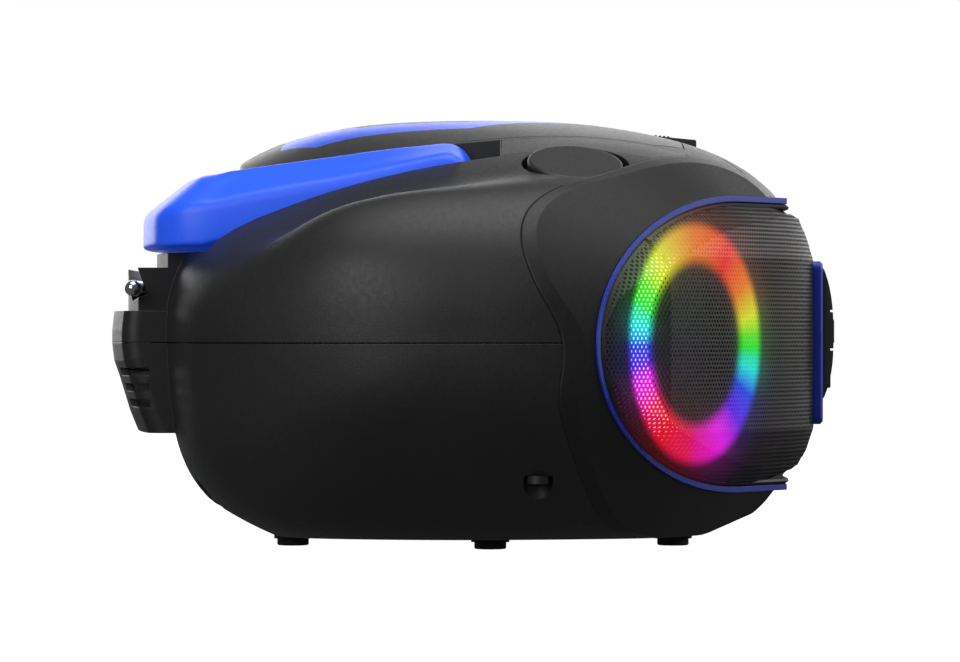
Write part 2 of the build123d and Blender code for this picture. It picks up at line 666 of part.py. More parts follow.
# ---------------------------------------------------------------------------
# Disc lid, its inlay, hinge ears and pins
# ---------------------------------------------------------------------------
inlay_floor = cabinet_form(0.9)
with BuildPart() as lid_trim:
    with BuildSketch(Plane.XY.offset(100)):
        with BuildLine():
            Polyline((-58, 2), (-58, 52), (-46, 64), (46, 64), (58, 52), (58, 2),
                     (8, -55), (-8, -55), (-58, 2))
        make_face()
        with BuildLine():
            Polyline((-43, 4), (-43, 38), (-35, 46), (35, 46), (43, 38), (43, 4),
                     (6, -33), (-6, -33), (-43, 4))
        make_face(mode=Mode.SUBTRACT)
    extrude(amount=50)
    add(outer, mode=Mode.INTERSECT)
    add(inlay_floor, mode=Mode.SUBTRACT)
save(lid_trim, "lid_trim")
with BuildPart() as cd_lid:
    add(lid_prism(0, 100, 150))
    add(skin.part, mode=Mode.INTERSECT)
    # finger tab with grip ridges
    with BuildSketch(Plane.YZ.offset(-10.6)):
        Polygon((-58, 131), (-60, 132.7), (-72.4, 131.5), (-72.8, 131.1), (-72.8, 127.0),
                (-58, 130), align=None)
    extrude(amount=21.2)
    for ry in (-59.4, -60.8, -62.2, -63.6):
        add(slab(-8, 8, ry - 0.35, ry + 0.35, 131.9, 133.2 + 0.09 * (ry + 59.4)))
    add(lid_trim.part, mode=Mode.SUBTRACT)
    # hinge ears
    for ex in (-45.6, 40.6):
        with BuildSketch(Plane.YZ.offset(ex)):
            with Locations(LID_PIN):
                Circle(4.0)
            Polygon((LID_PIN[0] - 4, LID_PIN[1]), (LID_PIN[0] + 4, LID_PIN[1]),
                    (LID_PIN[0] + 3.5, 119.6), (66, 125.0), (62, 124), align=None)
        extrude(amount=5)
    with BuildSketch(Plane.YZ.offset(-60)):
        with Locations(LID_PIN):
            Circle(1.58)
    extrude(amount=120, mode=Mode.SUBTRACT)
save(cd_lid, "cd_lid")
with BuildPart() as hinge_pins:
    with BuildSketch(Plane.YZ.offset(35.5)):
        with Locations(LID_PIN):
            Circle(1.5)
    extrude(amount=10.6)
    mirror(about=Plane.YZ)
save(hinge_pins, "hinge_pins")

# ---------------------------------------------------------------------------
# Disc well and drive
# ---------------------------------------------------------------------------
DECK_Z = 117.0                # floor of the disc well
ROD_Y, ROD_Z, ROD_R = 17.0, 108.5, 1.5
SLED_TRAVEL = 34.0
GEAR_M, GEAR_N = 0.5, 16
GEAR_R = GEAR_M * GEAR_N / 2
GEAR_X, GEAR_Y = 29.5, -26.0
with BuildPart() as cd_well:
    with BuildSketch(Plane.XY.offset(DECK_Z - 2)):
        Circle(65)
    extrude(amount=6)
    with BuildSketch(Plane.XY.offset(DECK_Z + 2)):
        Circle(73.8)
        with Locations((0, 0.25)):
            Rectangle(147.6, 128.5, mode=Mode.INTERSECT)
    extrude(amount=2)
    add(slab(-74.9, 74.9, -5, 22, 115, 117))
    with BuildSketch(Plane.XY.offset(DECK_Z)):
        Circle(DISC_WELL_R)
    extrude(amount=10, mode=Mode.SUBTRACT)
    add(slab(-80, 80, 64.5, 80, 100, 130), mode=Mode.SUBTRACT)
    add(slab(-80, 80, -80, -64, 100, 130), mode=Mode.SUBTRACT)
    with BuildSketch(Plane.XY.offset(110)):
        Circle(15.5)
        with Locations((38, 0)):
            SlotOverall(52, 17)
    extrude(amount=10, mode=Mode.SUBTRACT)
    # four posts for the rubber mounts
    add(pillar([(-30, -27), (-30, 27), (56, -27), (56, 27)], 2.2, 109, 115.5))
save(cd_well, "cd_well")
with BuildPart() as damper_mounts:
    with BuildSketch(Plane.XY.offset(105)):
        with Locations((-30, -27), (-30, 27), (56, -27), (56, 27)):
            Circle(4.2)
    extrude(amount=4)
save(damper_mounts, "damper_mounts")

with BuildPart() as mechanism_chassis:
    add(slab(-38, 73.5, -33, 33, 103, 105))
    add(slab(11.5, 70.5, -20.6, 21, 100, 110), mode=Mode.SUBTRACT)
    add(slab(8.5, 11.5, 13.5, 20.5, 103, 111))
    add(slab(8.5, 11.5, -19.2, -13.5, 103, 111))
    add(slab(70.5, 73.5, 13.5, 20.5, 103, 111))
    add(slab(70.5, 73.5, -19.2, -13.5, 103, 111))
    with BuildSketch(Plane.YZ.offset(9.5)):
        with Locations((-ROD_Y, ROD_Z), (ROD_Y, ROD_Z)):
            Circle(ROD_R)
    extrude(amount=63, mode=Mode.SUBTRACT)
    add(pillar([(0, 0)], 8.0, 100, 106), mode=Mode.SUBTRACT)
    add(pillar([(GEAR_X, GEAR_Y)], 2.0, 100, 106), mode=Mode.SUBTRACT)
    add(slab(-38, 73.5, -33, -31.4, 99, 103))
    add(slab(-38, 73.5, 31.4, 33, 99, 103))
save(mechanism_chassis, "mechanism_chassis")
with BuildPart() as guide_rods:
    with BuildSketch(Plane.YZ.offset(9.5)):
        with Locations((-ROD_Y, ROD_Z), (ROD_Y, ROD_Z)):
            Circle(ROD_R)
    extrude(amount=63)
save(guide_rods, "guide_rods")
with BuildPart() as spindle_motor:
    add(pillar([(0, 0)], 11.0, 91, 103))
    add(pillar([(0, 0)], 4.0, 103, 106))
    add(pillar([(0, 0)], 1.1, 100, 119), mode=Mode.SUBTRACT)
save(spindle_motor, "spindle_motor")
with BuildPart() as turntable:
    add(pillar([(0, 0)], 1.05, 100.5, 118))
    add(pillar([(0, 0)], 14.0, 117.6, 119.4))
    add(pillar([(0, 0)], 7.3, 119.4, 122.2))
    chamfer(turntable.faces().sort_by(Axis.Z)[-1].edges(), length=0.8)
    add(pillar([(0, 0)], 3.2, 112, 117.6))
    with BuildSketch(Plane.XY.offset(119.8)):
        with PolarLocations(7.1, 3):
            Circle(1.0)
    extrude(amount=1.6)
save(turntable, "turntable")


def rack_profile(x0, x1, y_root, phase):
    """Rack outline, teeth towards -Y."""
    p = math.pi * GEAR_M
    pts = [(x0, -19.6), (x0, y_root)]
    k = math.ceil((x0 + 0.6 - phase) / p)
    while phase + k * p + 0.5 < x1:
        c = phase + k * p
        pts += [(c - 0.46, y_root), (c - 0.16, y_root - 0.85),
                (c + 0.16, y_root - 0.85), (c + 0.46, y_root)]
        k += 1
    return pts + [(x1, y_root), (x1, -19.6)]


with BuildPart() as pickup_sled:
    add(slab(13, 33, -19.6, 20, 105.6, 111.4))
    with BuildSketch(Plane.YZ.offset(10)):
        with Locations((-ROD_Y, ROD_Z), (ROD_Y, ROD_Z)):
            Circle(ROD_R + 0.06)
    extrude(amount=30, mode=Mode.SUBTRACT)
    add(slab(14, 32, -13, 13, 101.6, 105.6))
    add(pillar([(23, 0)], 6.5, 111, 114.0))
    add(pillar([(23, 0)], 3.5, 110, 115), mode=Mode.SUBTRACT)
    with BuildSketch(Plane.XY.offset(107)):
        Polygon(*rack_profile(-8, 33, -21.5, GEAR_X + math.pi * GEAR_M / 2), align=None)
    extrude(amount=3)
save(pickup_sled, "pickup_sled")
with BuildPart() as pickup_lens:
    add(pillar([(23, 0)], 3.5, 110, 114.4))
    fillet(pickup_lens.faces().sort_by(Axis.Z)[-1].edges(), radius=0.9)
save(pickup_lens, "pickup_lens")
with BuildPart() as sled_gear:
    with BuildSketch(Plane.XY.offset(107)):
        Circle(GEAR_R - 0.65)
        with Locations((0, 0)):
            with PolarLocations(0, GEAR_N, start_angle=90):
                Polygon((GEAR_R - 1.0, -0.58), (GEAR_R - 0.5, -0.52), (GEAR_R + 0.1, -0.30),
                        (GEAR_R + 0.36, -0.14), (GEAR_R + 0.36, 0.14), (GEAR_R + 0.1, 0.30),
                        (GEAR_R - 0.5, 0.52), (GEAR_R - 1.0, 0.58), align=None)
        Circle(1.05, mode=Mode.SUBTRACT)
    extrude(amount=3)
sled_gear.part = sled_gear.part.moved(Location((GEAR_X, GEAR_Y, 0)))
save(sled_gear, "sled_gear")
with BuildPart() as sled_motor:
    add(pillar([(GEAR_X, GEAR_Y)], 5.1, 91, 103))
    add(pillar([(GEAR_X, GEAR_Y)], 1.0, 103, 110.6))
save(sled_motor, "sled_motor")

# ---------------------------------------------------------------------------
# Handle
# ---------------------------------------------------------------------------
GRIP = [(GRIP_Y, 94.6), (GRIP_Y, 105.3), (95.6, 117.2), (89, 117.9), (86.6, 113),
        (86.6, 97), (89, 94.6)]
ARM_A = [(2, 116.5), (4, 120.5), (8, 123.4), (12, 123), (41, 116.2), (62, 113.4),
         (97, 105.2), (97, 94.6), (89.5, 94.6), (72, 98.0), (56, 104), (41, 109),
         (29, 111), (24, 106.5), (14, 103.8), (5, 107), (1.2, 112)]
ARM_B = [(0.6, 118), (2.6, 124), (7, 127.6), (25, 126.2), (44.5, 123.6), (65, 120.8),
         (86, 117.6), (86, 94.6), (82, 94.6), (72, 98.0), (56, 104), (41, 109),
         (29, 111), (24, 106.5), (14, 103.8), (5, 107), (1.2, 112)]
with BuildPart() as arm:
    with BuildSketch(Plane.YZ.offset(-ARM_OUT)):
        Polygon(*ARM_A, align=None)
    with BuildSketch(Plane.YZ.offset(-ARM_IN)):
        Polygon(*ARM_B, align=None)
    loft(ruled=True)
with BuildPart() as handle:
    add(bowed(GRIP, 14.4, GRIP_Y))
    add(slab(-ARM_OUT, ARM_OUT, 60, 130, 90, 130), mode=Mode.INTERSECT)
    add(arm.part)
    mirror(arm.part, about=Plane.YZ)
    with BuildSketch(Plane.YZ.offset(-90.5)):
        with Locations(PIVOT):
            Circle(PIVOT_R + 0.08)
    extrude(amount=20, mode=Mode.SUBTRACT)
    with BuildSketch(Plane.YZ.offset(70.5)):
        with Locations(PIVOT):
            Circle(PIVOT_R + 0.08)
    extrude(amount=20, mode=Mode.SUBTRACT)
save(handle, "handle")
with BuildPart() as handle_pivots:
    with BuildSketch(Plane.YZ.offset(75.0)):
        with Locations(PIVOT):
            Circle(PIVOT_R)
    extrude(amount=14.7)
    mirror(about=Plane.YZ)
save(handle_pivots, "handle_pivots")

# ---------------------------------------------------------------------------
# Aerial: foot, knuckle, three telescoping sections. Local x runs along the
# folded aerial, local y the way it lifts, local z the pivot axis.
# ---------------------------------------------------------------------------


def local_disc(radius, z0, z1):
    with BuildPart() as d:
        with BuildSketch(ant_plane.offset(z0)):
            Circle(radius)
        extrude(amount=z1 - z0)
    return d.part


def along(radius, x0, x1, bore=0):
    """Rod or tube along the aerial, from x0 to x1 off the pivot."""
    axis_plane = Plane(origin=ANT_P, x_dir=(0, 1, 0), z_dir=(-1, 0, 0))
    with BuildPart() as rod:
        with BuildSketch(axis_plane.offset(x0)):
            Circle(radius)
            if bore:
                Circle(bore, mode=Mode.SUBTRACT)
        extrude(amount=x1 - x0)
    return rod.part


with BuildPart() as antenna_base:
    add(local_disc(3.6, 1.75, 3.0))
    add(local_disc(3.6, -3.0, -1.75))
    add(slab(ANT_P[0] - 3.4, ANT_P[0] + 3.4, 103.6, 110.6, 74.3, 76.2))
    with BuildSketch(ant_plane.offset(1.75)):
        with Locations((0, -2.6)):
            Rectangle(6.8, 5.2)
    extrude(amount=1.25)
    with BuildSketch(ant_plane.offset(-3.0)):
        with Locations((0, -2.6)):
            Rectangle(6.8, 5.2)
    extrude(amount=1.25)
    add(local_disc(1.1, -3.4, 3.4))
save(antenna_base, "antenna_base")
with BuildPart() as antenna_knuckle:
    add(local_disc(3.4, -1.6, 1.6))
    with BuildSketch(ant_plane.offset(-1.6)):
        with Locations((5, 0)):
            Rectangle(10, 5.0)
    extrude(amount=3.2)
    add(local_disc(1.16, -2, 2), mode=Mode.SUBTRACT)
save(antenna_knuckle, "antenna_knuckle")
with BuildPart() as antenna_outer:
    add(along(2.5, 10, 164, 2.06))
    add(along(2.5, 10, 11.5))
save(antenna_outer, "antenna_outer")
with BuildPart() as antenna_middle:
    add(along(2.0, 12, 166, 1.5))
save(antenna_middle, "antenna_middle")
with BuildPart() as antenna_tip:
    add(along(1.44, 14, 169))
    ball_x = ANT_P[0] - 171.0
    with BuildSketch(Plane(origin=(ball_x, ANT_P[1], ANT_P[2]))):
        with BuildLine():
            ThreePointArc((-2.5, 0), (0, 2.5), (2.5, 0))
            Line((2.5, 0), (-2.5, 0))
        make_face()
    revolve(axis=Axis((ball_x, ANT_P[1], ANT_P[2]), (1, 0, 0)))
save(antenna_tip, "antenna_tip")

# ---------------------------------------------------------------------------
# Speakers, drawn about +Z as the outward normal of the pod
# ---------------------------------------------------------------------------
with BuildPart() as led_rings:
    add(on_pods(ring_shape([(30, -0.1), (RING_R, -0.1), (RING_R, -1.8), (RING_RI, -1.8)])))
save(led_rings, "led_rings")
with BuildPart() as led_boards:
    add(on_pods(ring_shape([(27.2, -1.8), (RING_R, -1.8), (RING_R, -3.2), (27.2, -3.2)])))
save(led_boards, "led_boards")
with BuildPart() as basket:
    add(ring_shape([(34, -3.3), (41, -3.3), (41, -5.3), (36.2, -5.3), (25.2, -21.5),
                    (25.2, -24), (12, -24), (12, -22.4), (23.7, -22.4), (34, -7.2)]))
    with BuildSketch(Plane.XY.offset(-20)):
        with PolarLocations(33, 4, start_angle=45):
            Rectangle(20, 20)
    extrude(amount=13.5, mode=Mode.SUBTRACT)
    with BuildSketch(Plane.XY.offset(-6)):
        with PolarLocations(38.6, 4):
            Circle(1.6)
    extrude(amount=4, mode=Mode.SUBTRACT)
with BuildPart() as speaker_baskets:
    add(on_pods(basket.part))
save(speaker_baskets, "speaker_baskets")
with BuildPart() as speaker_magnets:
    add(on_pods(ring_shape([(9.0, -24), (22.5, -24), (22.5, -34.5), (21, -34.5), (21, -37),
                            (0, -37), (0, -24), (7.5, -24), (7.5, -34), (9.0, -34)])))
save(speaker_magnets, "speaker_magnets")
with BuildPart() as cone:
    add(ring_shape([(0, -11), (3, -11.15), (6, -11.9), (8.6, -13.4), (9.6, -14.6),
                    (28.6, -5.2), (28.6, -6.0), (9.9, -15.6), (8.5, -15.9), (8.5, -30),
                    (8.0, -30), (8.0, -15.5), (7.8, -14.4), (5.7, -12.9), (2.8, -12.1),
                    (0, -12)]))
left_cone_solid = cone.part.moved(pod_plane().location)
with BuildPart() as left_cone:
    add(left_cone_solid)
save(left_cone, "left_cone")
with BuildPart() as right_cone:
    mirror(left_cone_solid, about=Plane.YZ)
save(right_cone, "right_cone")
with BuildPart() as cone_surrounds:
    add(on_pods(ring_shape([(29, -5.0), (30, -5.9), (31.5, -6.6), (33, -5.9), (34, -5.0),
                            (34, -5.8), (33.2, -6.7), (31.5, -7.5), (29.8, -6.7), (29, -5.8)])))
save(cone_surrounds, "cone_surrounds")

# ---------------------------------------------------------------------------
# Power, boards, battery parts, feet and screws
# ---------------------------------------------------------------------------
with BuildPart() as ac_inlet:
    add(slab(50, 74, 72, 92.2, 19.5, 32.5))
    fillet(ac_inlet.edges().filter_by(Axis.Y), radius=1.0)
    with BuildSketch(Plane.XZ.offset(-80)):
        with Locations((62, 26)):
            SlotOverall(17.6, 8.6)
    extrude(amount=-20, mode=Mode.SUBTRACT)
    with BuildSketch(Plane.XZ.offset(-79)):
        with Locations((57.7, 26), (66.3, 26)):
            Circle(1.2)
    extrude(amount=-10)
    add(slab(46.5, 77.5, 72, 74, 17, 35))
save(ac_inlet, "ac_inlet")
with BuildPart() as transformer:
    add(slab(-70, -28, 52, 72, 22, 56))
    add(slab(-62, -36, 46, 78, 28, 50))
    fillet(transformer.edges().filter_by(Axis.Z).group_by(Axis.Y)[0], radius=3)
    add(slab(-72, -26, 58, 66, 22, 23.2))
save(transformer, "transformer")
with BuildPart() as main_board:
    add(slab(-66, 66, -14, 42, 44, 45.6))
    add(pillar([(-50, 30), (-38, 30), (-50, 16)], 5, 45.6, 60))
    add(pillar([(50, 32), (50, 20), (38, 32)], 3.2, 45.6, 54))
    add(slab(-8, 8, 2, 14, 45.6, 47.6))
    add(slab(18, 30, -6, 4, 45.6, 47.4))
    add(slab(-34, -26, -10, 6, 45.6, 56))
save(main_board, "main_board")
with BuildPart() as heat_sink:
    add(slab(6, 34, 26, 29, 45.6, 62))
    for fx in range(5):
        add(slab(7 + 6 * fx, 8.4 + 6 * fx, 29, 38, 45.6, 62))
save(heat_sink, "heat_sink")
with BuildPart() as battery_door:
    add(slab(-BAY_X - 2, BAY_X + 2, BAY_Y0 - 3, BAY_Y1 + 3, 2.0, 3.4))
    fillet(battery_door.edges().filter_by(Axis.Z), radius=3)
    add(slab(-BAY_X + 0.5, BAY_X - 0.5, BAY_Y0 + 6.6, BAY_Y1 - 0.5, 3.4, 5.4))
    add(slab(-BAY_X + 2, BAY_X - 2, BAY_Y0 + 8, BAY_Y1 - 2, 3.4, 6), mode=Mode.SUBTRACT)
    for gx in range(5):
        add(slab(-12, 12, BAY_Y0 + 2 + 2.2 * gx, BAY_Y0 + 3 + 2.2 * gx, 1.6, 2.1))
save(battery_door, "battery_door")
cell_y = (BAY_Y0 + 13.4, BAY_Y1 - 13.4)
with BuildPart() as battery_contacts:
    for cx in (-BAY_X, BAY_X - 0.5):
        for cy in cell_y:
            add(slab(cx, cx + 0.5, cy - 10, cy + 10, 12, 30))
    with BuildSketch(Plane.YZ.offset(-BAY_X + 0.5)):
        with Locations(*[(cy, 20) for cy in cell_y]):
            Circle(6)
            Circle(5, mode=Mode.SUBTRACT)
    extrude(amount=3)
save(battery_contacts, "battery_contacts")
with BuildPart() as foot_pads:
    add(pillar(FEET, 6.0, 2.2, BOTTOM_Z))
    add(pillar(FEET, 5.0, 0.0, 2.2))
    fillet(foot_pads.faces().group_by(Axis.Z)[0].edges(), radius=0.6)
save(foot_pads, "foot_pads")
with BuildPart() as case_screws:
    add(pillar(SCREW_SPOTS[:2], 1.5, 24, 80))
    add(pillar(SCREW_SPOTS[:2], 3.4, 21.6, 24))
    add(pillar(SCREW_SPOTS[2:], 1.5, 31, 80))
    add(pillar(SCREW_SPOTS[2:], 3.4, 28.6, 31))
    with BuildSketch(Plane.XY.offset(21)):
        with Locations(*SCREW_SPOTS[:2]):
            Rectangle(3.6, 0.8)
            Rectangle(0.8, 3.6)
    extrude(amount=1.8, mode=Mode.SUBTRACT)
    with BuildSketch(Plane.XY.offset(28)):
        with Locations(*SCREW_SPOTS[2:]):
            Rectangle(3.6, 0.8)
            Rectangle(0.8, 3.6)
    extrude(amount=1.8, mode=Mode.SUBTRACT)
save(case_screws, "case_screws")
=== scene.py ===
import bpy
import bmesh
import colorsys
import math
import numpy as np
from mathutils import Matrix, Vector


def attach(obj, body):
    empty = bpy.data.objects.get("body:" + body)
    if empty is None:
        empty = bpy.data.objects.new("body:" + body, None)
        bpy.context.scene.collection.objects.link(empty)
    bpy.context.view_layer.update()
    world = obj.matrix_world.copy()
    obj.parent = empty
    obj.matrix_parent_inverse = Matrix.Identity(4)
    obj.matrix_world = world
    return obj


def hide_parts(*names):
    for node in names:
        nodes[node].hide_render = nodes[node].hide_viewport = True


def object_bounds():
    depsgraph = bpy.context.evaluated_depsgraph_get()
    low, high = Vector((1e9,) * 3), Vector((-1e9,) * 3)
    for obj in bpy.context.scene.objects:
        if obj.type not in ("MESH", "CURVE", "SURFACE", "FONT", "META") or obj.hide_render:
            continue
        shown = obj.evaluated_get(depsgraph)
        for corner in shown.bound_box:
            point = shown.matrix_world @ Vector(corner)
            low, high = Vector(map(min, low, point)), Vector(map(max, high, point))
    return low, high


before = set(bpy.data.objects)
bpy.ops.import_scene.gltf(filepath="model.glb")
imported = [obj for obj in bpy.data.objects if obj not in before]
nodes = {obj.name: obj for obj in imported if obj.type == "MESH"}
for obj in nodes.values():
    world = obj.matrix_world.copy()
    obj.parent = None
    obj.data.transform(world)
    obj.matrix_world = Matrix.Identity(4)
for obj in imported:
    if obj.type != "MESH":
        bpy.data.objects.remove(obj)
cad_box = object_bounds()

OY = -1.45                      # the frame's Y zero sits this far behind the construction zero, mm
POD_ANGLE = math.radians(35)
POD_C = np.array([-110.0, -67.0, 64.0])
POD_U = np.array([math.cos(POD_ANGLE), -math.sin(POD_ANGLE), 0.0])
POD_N = np.array([-math.sin(POD_ANGLE), -math.cos(POD_ANGLE), 0.0])
ELL_U, ELL_A, POD_TOP, POD_BOT = 26.7, 81.4, 110.5, 17.0
RING_R, RING_RI = 36.0, 26.4


# ---------------------------------------------------------------------------
# Camera, light, floor
# ---------------------------------------------------------------------------
scene = bpy.context.scene
scene.view_settings.view_transform = "Standard"
scene.view_settings.look = "None"
cam_data = bpy.data.cameras.new("camera")
cam_data.sensor_width = 36.0
cam_data.lens = 167.85
cam = bpy.data.objects.new("camera", cam_data)
cam.matrix_world = Matrix(((0, 0, -1, -1.5), (-1, 0, 0, -0.0008 + OY / 1000),
                           (0, 1, 0, 0.0679), (0, 0, 0, 1)))
scene.collection.objects.link(cam)
scene.camera = cam

world = bpy.data.worlds.new("studio")
scene.world = world
world.use_nodes = True
wn = world.node_tree.nodes
wl = world.node_tree.links
wn.clear()
w_out = wn.new("ShaderNodeOutputWorld")
w_mix = wn.new("ShaderNodeMixShader")
w_path = wn.new("ShaderNodeLightPath")
w_seen = wn.new("ShaderNodeBackground")
w_seen.inputs["Color"].default_value = (1, 1, 1, 1)
w_seen.inputs["Strength"].default_value = 1.0
w_fill = wn.new("ShaderNodeBackground")
w_fill.inputs["Color"].default_value = (0.95, 0.97, 1.0, 1)
w_fill.inputs["Strength"].default_value = 0.10
wl.new(w_path.outputs["Is Camera Ray"], w_mix.inputs[0])
wl.new(w_fill.outputs[0], w_mix.inputs[1])
wl.new(w_seen.outputs[0], w_mix.inputs[2])
wl.new(w_mix.outputs[0], w_out.inputs[0])


def softbox(name, spot, aim, size, size_y, watts, tint=(1, 1, 1)):
    data = bpy.data.lights.new(name, "AREA")
    data.shape = "RECTANGLE"
    data.size, data.size_y, data.energy = size, size_y, watts
    data.color = tint
    o = bpy.data.objects.new(name, data)
    o.location = spot
    o.rotation_euler = (Vector(aim) - Vector(spot)).to_track_quat("-Z", "Y").to_euler()
    scene.collection.objects.link(o)
    return o


softbox("top_softbox", (-0.15, -0.15, 1.25), (0, 0, 0.1), 1.3, 1.0, 12)
softbox("rear_softbox", (-1.15, 0.62, 0.55), (-0.05, 0.03, 0.08), 0.80, 0.75, 7.5)
softbox("front_softbox", (0.25, -1.35, 0.50), (0, -0.05, 0.07), 0.9, 0.6, 7.0)
far_box = softbox("far_softbox", (1.35, -0.05, 0.42), (0, 0, 0.12), 2.4, 0.8, 16.0)
far_box.visible_camera = False


# ---------------------------------------------------------------------------
# Material helpers
# ---------------------------------------------------------------------------
def lin(c):
    return tuple(x / 12.92 if x <= 0.04045 else ((x + 0.055) / 1.055) ** 2.4 for x in c)


class Look:
    """One node material, with the usual surface detail."""

    def __init__(self, name):
        self.mat = bpy.data.materials.new(name)
        self.mat.use_nodes = True
        self.n = self.mat.node_tree.nodes
        self.l = self.mat.node_tree.links
        self.n.clear()
        self.out = self.n.new("ShaderNodeOutputMaterial")
        self.bsdf = self.n.new("ShaderNodeBsdfPrincipled")
        self.l.new(self.bsdf.outputs[0], self.out.inputs[0])
        self.coord = self.n.new("ShaderNodeTexCoord").outputs["Object"]

    def put(self, kind, props=(), **values):
        node = self.n.new("ShaderNode" + kind)
        for k, v in dict(props).items():
            setattr(node, k, v)
        for k, v in values.items():
            key = int(k[1:]) if k[0] == "i" and k[1:].isdigit() else k.replace("_", " ")
            if isinstance(v, bpy.types.NodeSocket):
                self.l.new(v, node.inputs[key])
            else:
                node.inputs[key].default_value = v
        return node

    def math(self, op, a, b=0.0, c=0.0):
        node = self.n.new("ShaderNodeMath")
        node.operation = op
        for i, v in enumerate((a, b, c)):
            if isinstance(v, bpy.types.NodeSocket):
                self.l.new(v, node.inputs[i])
            else:
                node.inputs[i].default_value = v
        return node.outputs[0]

    def noise(self, scale, detail=2.0, rough=0.5, stretch=None):
        co = self.coord
        if stretch:
            co = self.put("Mapping", Vector=co, Scale=stretch).outputs[0]
        return self.put("TexNoise", Vector=co, Scale=scale, Detail=detail,
                        Roughness=rough).outputs[0]

    def span(self, value, a0, a1, b0, b1, smooth=False):
        node = self.n.new("ShaderNodeMapRange")
        if smooth:
            node.interpolation_type = "SMOOTHSTEP"
        self.l.new(value, node.inputs[0])
        for i, v in enumerate((a0, a1, b0, b1)):
            node.inputs[1 + i].default_value = v
        return node.outputs[0]

    def ramp(self, value, stops):
        node = self.n.new("ShaderNodeValToRGB")
        self.l.new(value, node.inputs[0])
        e = node.color_ramp.elements
        while len(e) < len(stops):
            e.new(0.5)
        for el, (p, c) in zip(e, stops):
            el.position = p
        for el, (p, c) in zip(e, stops):
            el.color = (*c, 1)
        return node.outputs[0]

    def set(self, **values):
        for k, v in values.items():
            key = k.replace("_", " ")
            if isinstance(v, bpy.types.NodeSocket):
                self.l.new(v, self.bsdf.inputs[key])
            else:
                self.bsdf.inputs[key].default_value = v

    def mix_colour(self, factor, a, b):
        node = self.n.new("ShaderNodeMix")
        node.data_type = "RGBA"
        for i, v in ((0, factor), (6, a), (7, b)):
            if isinstance(v, bpy.types.NodeSocket):
                self.l.new(v, node.inputs[i])
            else:
                node.inputs[i].default_value = v if i == 0 else (*v, 1)
        return node.outputs[2]

    def bump(self, height, strength, distance=0.0002, edge=0.0):
        node = self.put("Bump", Strength=strength, Distance=distance, Height=height)
        if edge:
            round_edge = self.n.new("ShaderNodeBevel")
            round_edge.samples = 4
            round_edge.inputs["Radius"].default_value = edge
            self.l.new(round_edge.outputs[0], node.inputs["Normal"])
        return node.outputs[0]


def moulded(name, dark, light, rough=(0.4, 0.5), grain=1800, bump=0.25, edge=0.0,
            metallic=0.0, coat=0.0, specular=0.5, blotch=22):
    """Moulded plastic: slow tone drift, fine grain, uneven gloss."""
    k = Look(name)
    slow = k.noise(blotch, 3)
    fine = k.noise(grain, 2)
    mixed = k.math("MULTIPLY_ADD", fine, 0.45, k.math("MULTIPLY", slow, 0.55))
    k.set(Base_Color=k.mix_colour(k.span(mixed, 0.35, 0.65, 0, 1), dark, light),
          Roughness=k.span(k.noise(grain * 0.35, 3), 0.3, 0.7, *rough),
          Metallic=metallic, Specular_IOR_Level=specular, Coat_Weight=coat,
          Normal=k.bump(fine, bump, 0.00012, edge))
    return k


def glow(k):
    """Colour and reach of the ring light, from a point's place across and up the object."""
    xyz = k.put("SeparateXYZ", Vector=k.coord).outputs
    dx = k.math("SUBTRACT", (POD_C[1] + OY) / 1000, xyz[1])
    dz = k.math("SUBTRACT", xyz[2], POD_C[2] / 1000)
    flat = k.math("SQRT", k.math("ADD", k.math("MULTIPLY", dx, dx), k.math("MULTIPLY", dz, dz)))
    a = math.radians(20)
    c = k.math("DIVIDE", k.math("MULTIPLY_ADD", dx, math.sin(a), k.math("MULTIPLY", dz, math.cos(a))),
               k.math("MAXIMUM", flat, 1e-5))
    turn = k.math("DIVIDE", k.math("ARCCOSINE", k.math("MINIMUM", k.math("MAXIMUM", c, -1.0), 1.0)), math.pi)
    hues = [(0, 4), (22, 32), (45, 64), (62, 98), (75, 132), (93, 178), (112, 224), (130, 262),
            (145, 300), (165, 338), (180, 352)]
    colour = k.ramp(turn, [(p / 180, lin(colorsys.hsv_to_rgb(h / 360, 0.97, 1))) for p, h in hues])
    u = k.math("DIVIDE", dx, math.sin(POD_ANGLE))
    rho = k.math("SQRT", k.math("ADD", k.math("MULTIPLY", u, u), k.math("MULTIPLY", dz, dz)))
    return colour, rho


# ---------------------------------------------------------------------------
# Materials of the CAD pieces
# ---------------------------------------------------------------------------
shell = moulded("shell_black", (0.0135, 0.0135, 0.014), (0.0185, 0.0185, 0.019), (0.44, 0.53),
                bump=0.30, edge=0.0006, specular=0.45)
# painted shade: a near-black line painted along the parting line between the upper and lower cabinet, standing in for
# the shade in the gap
seam_z = shell.put("SeparateXYZ", Vector=shell.coord).outputs[2]
seam_shade = shell.span(shell.math("ABSOLUTE", shell.math("SUBTRACT", seam_z, 0.0642)), 0.00015, 0.00045, 0, 1, True)
old = shell.bsdf.inputs["Base Color"].links[0].from_socket
shell.l.new(shell.mix_colour(seam_shade, (0.002, 0.002, 0.002), old), shell.bsdf.inputs["Base Color"])

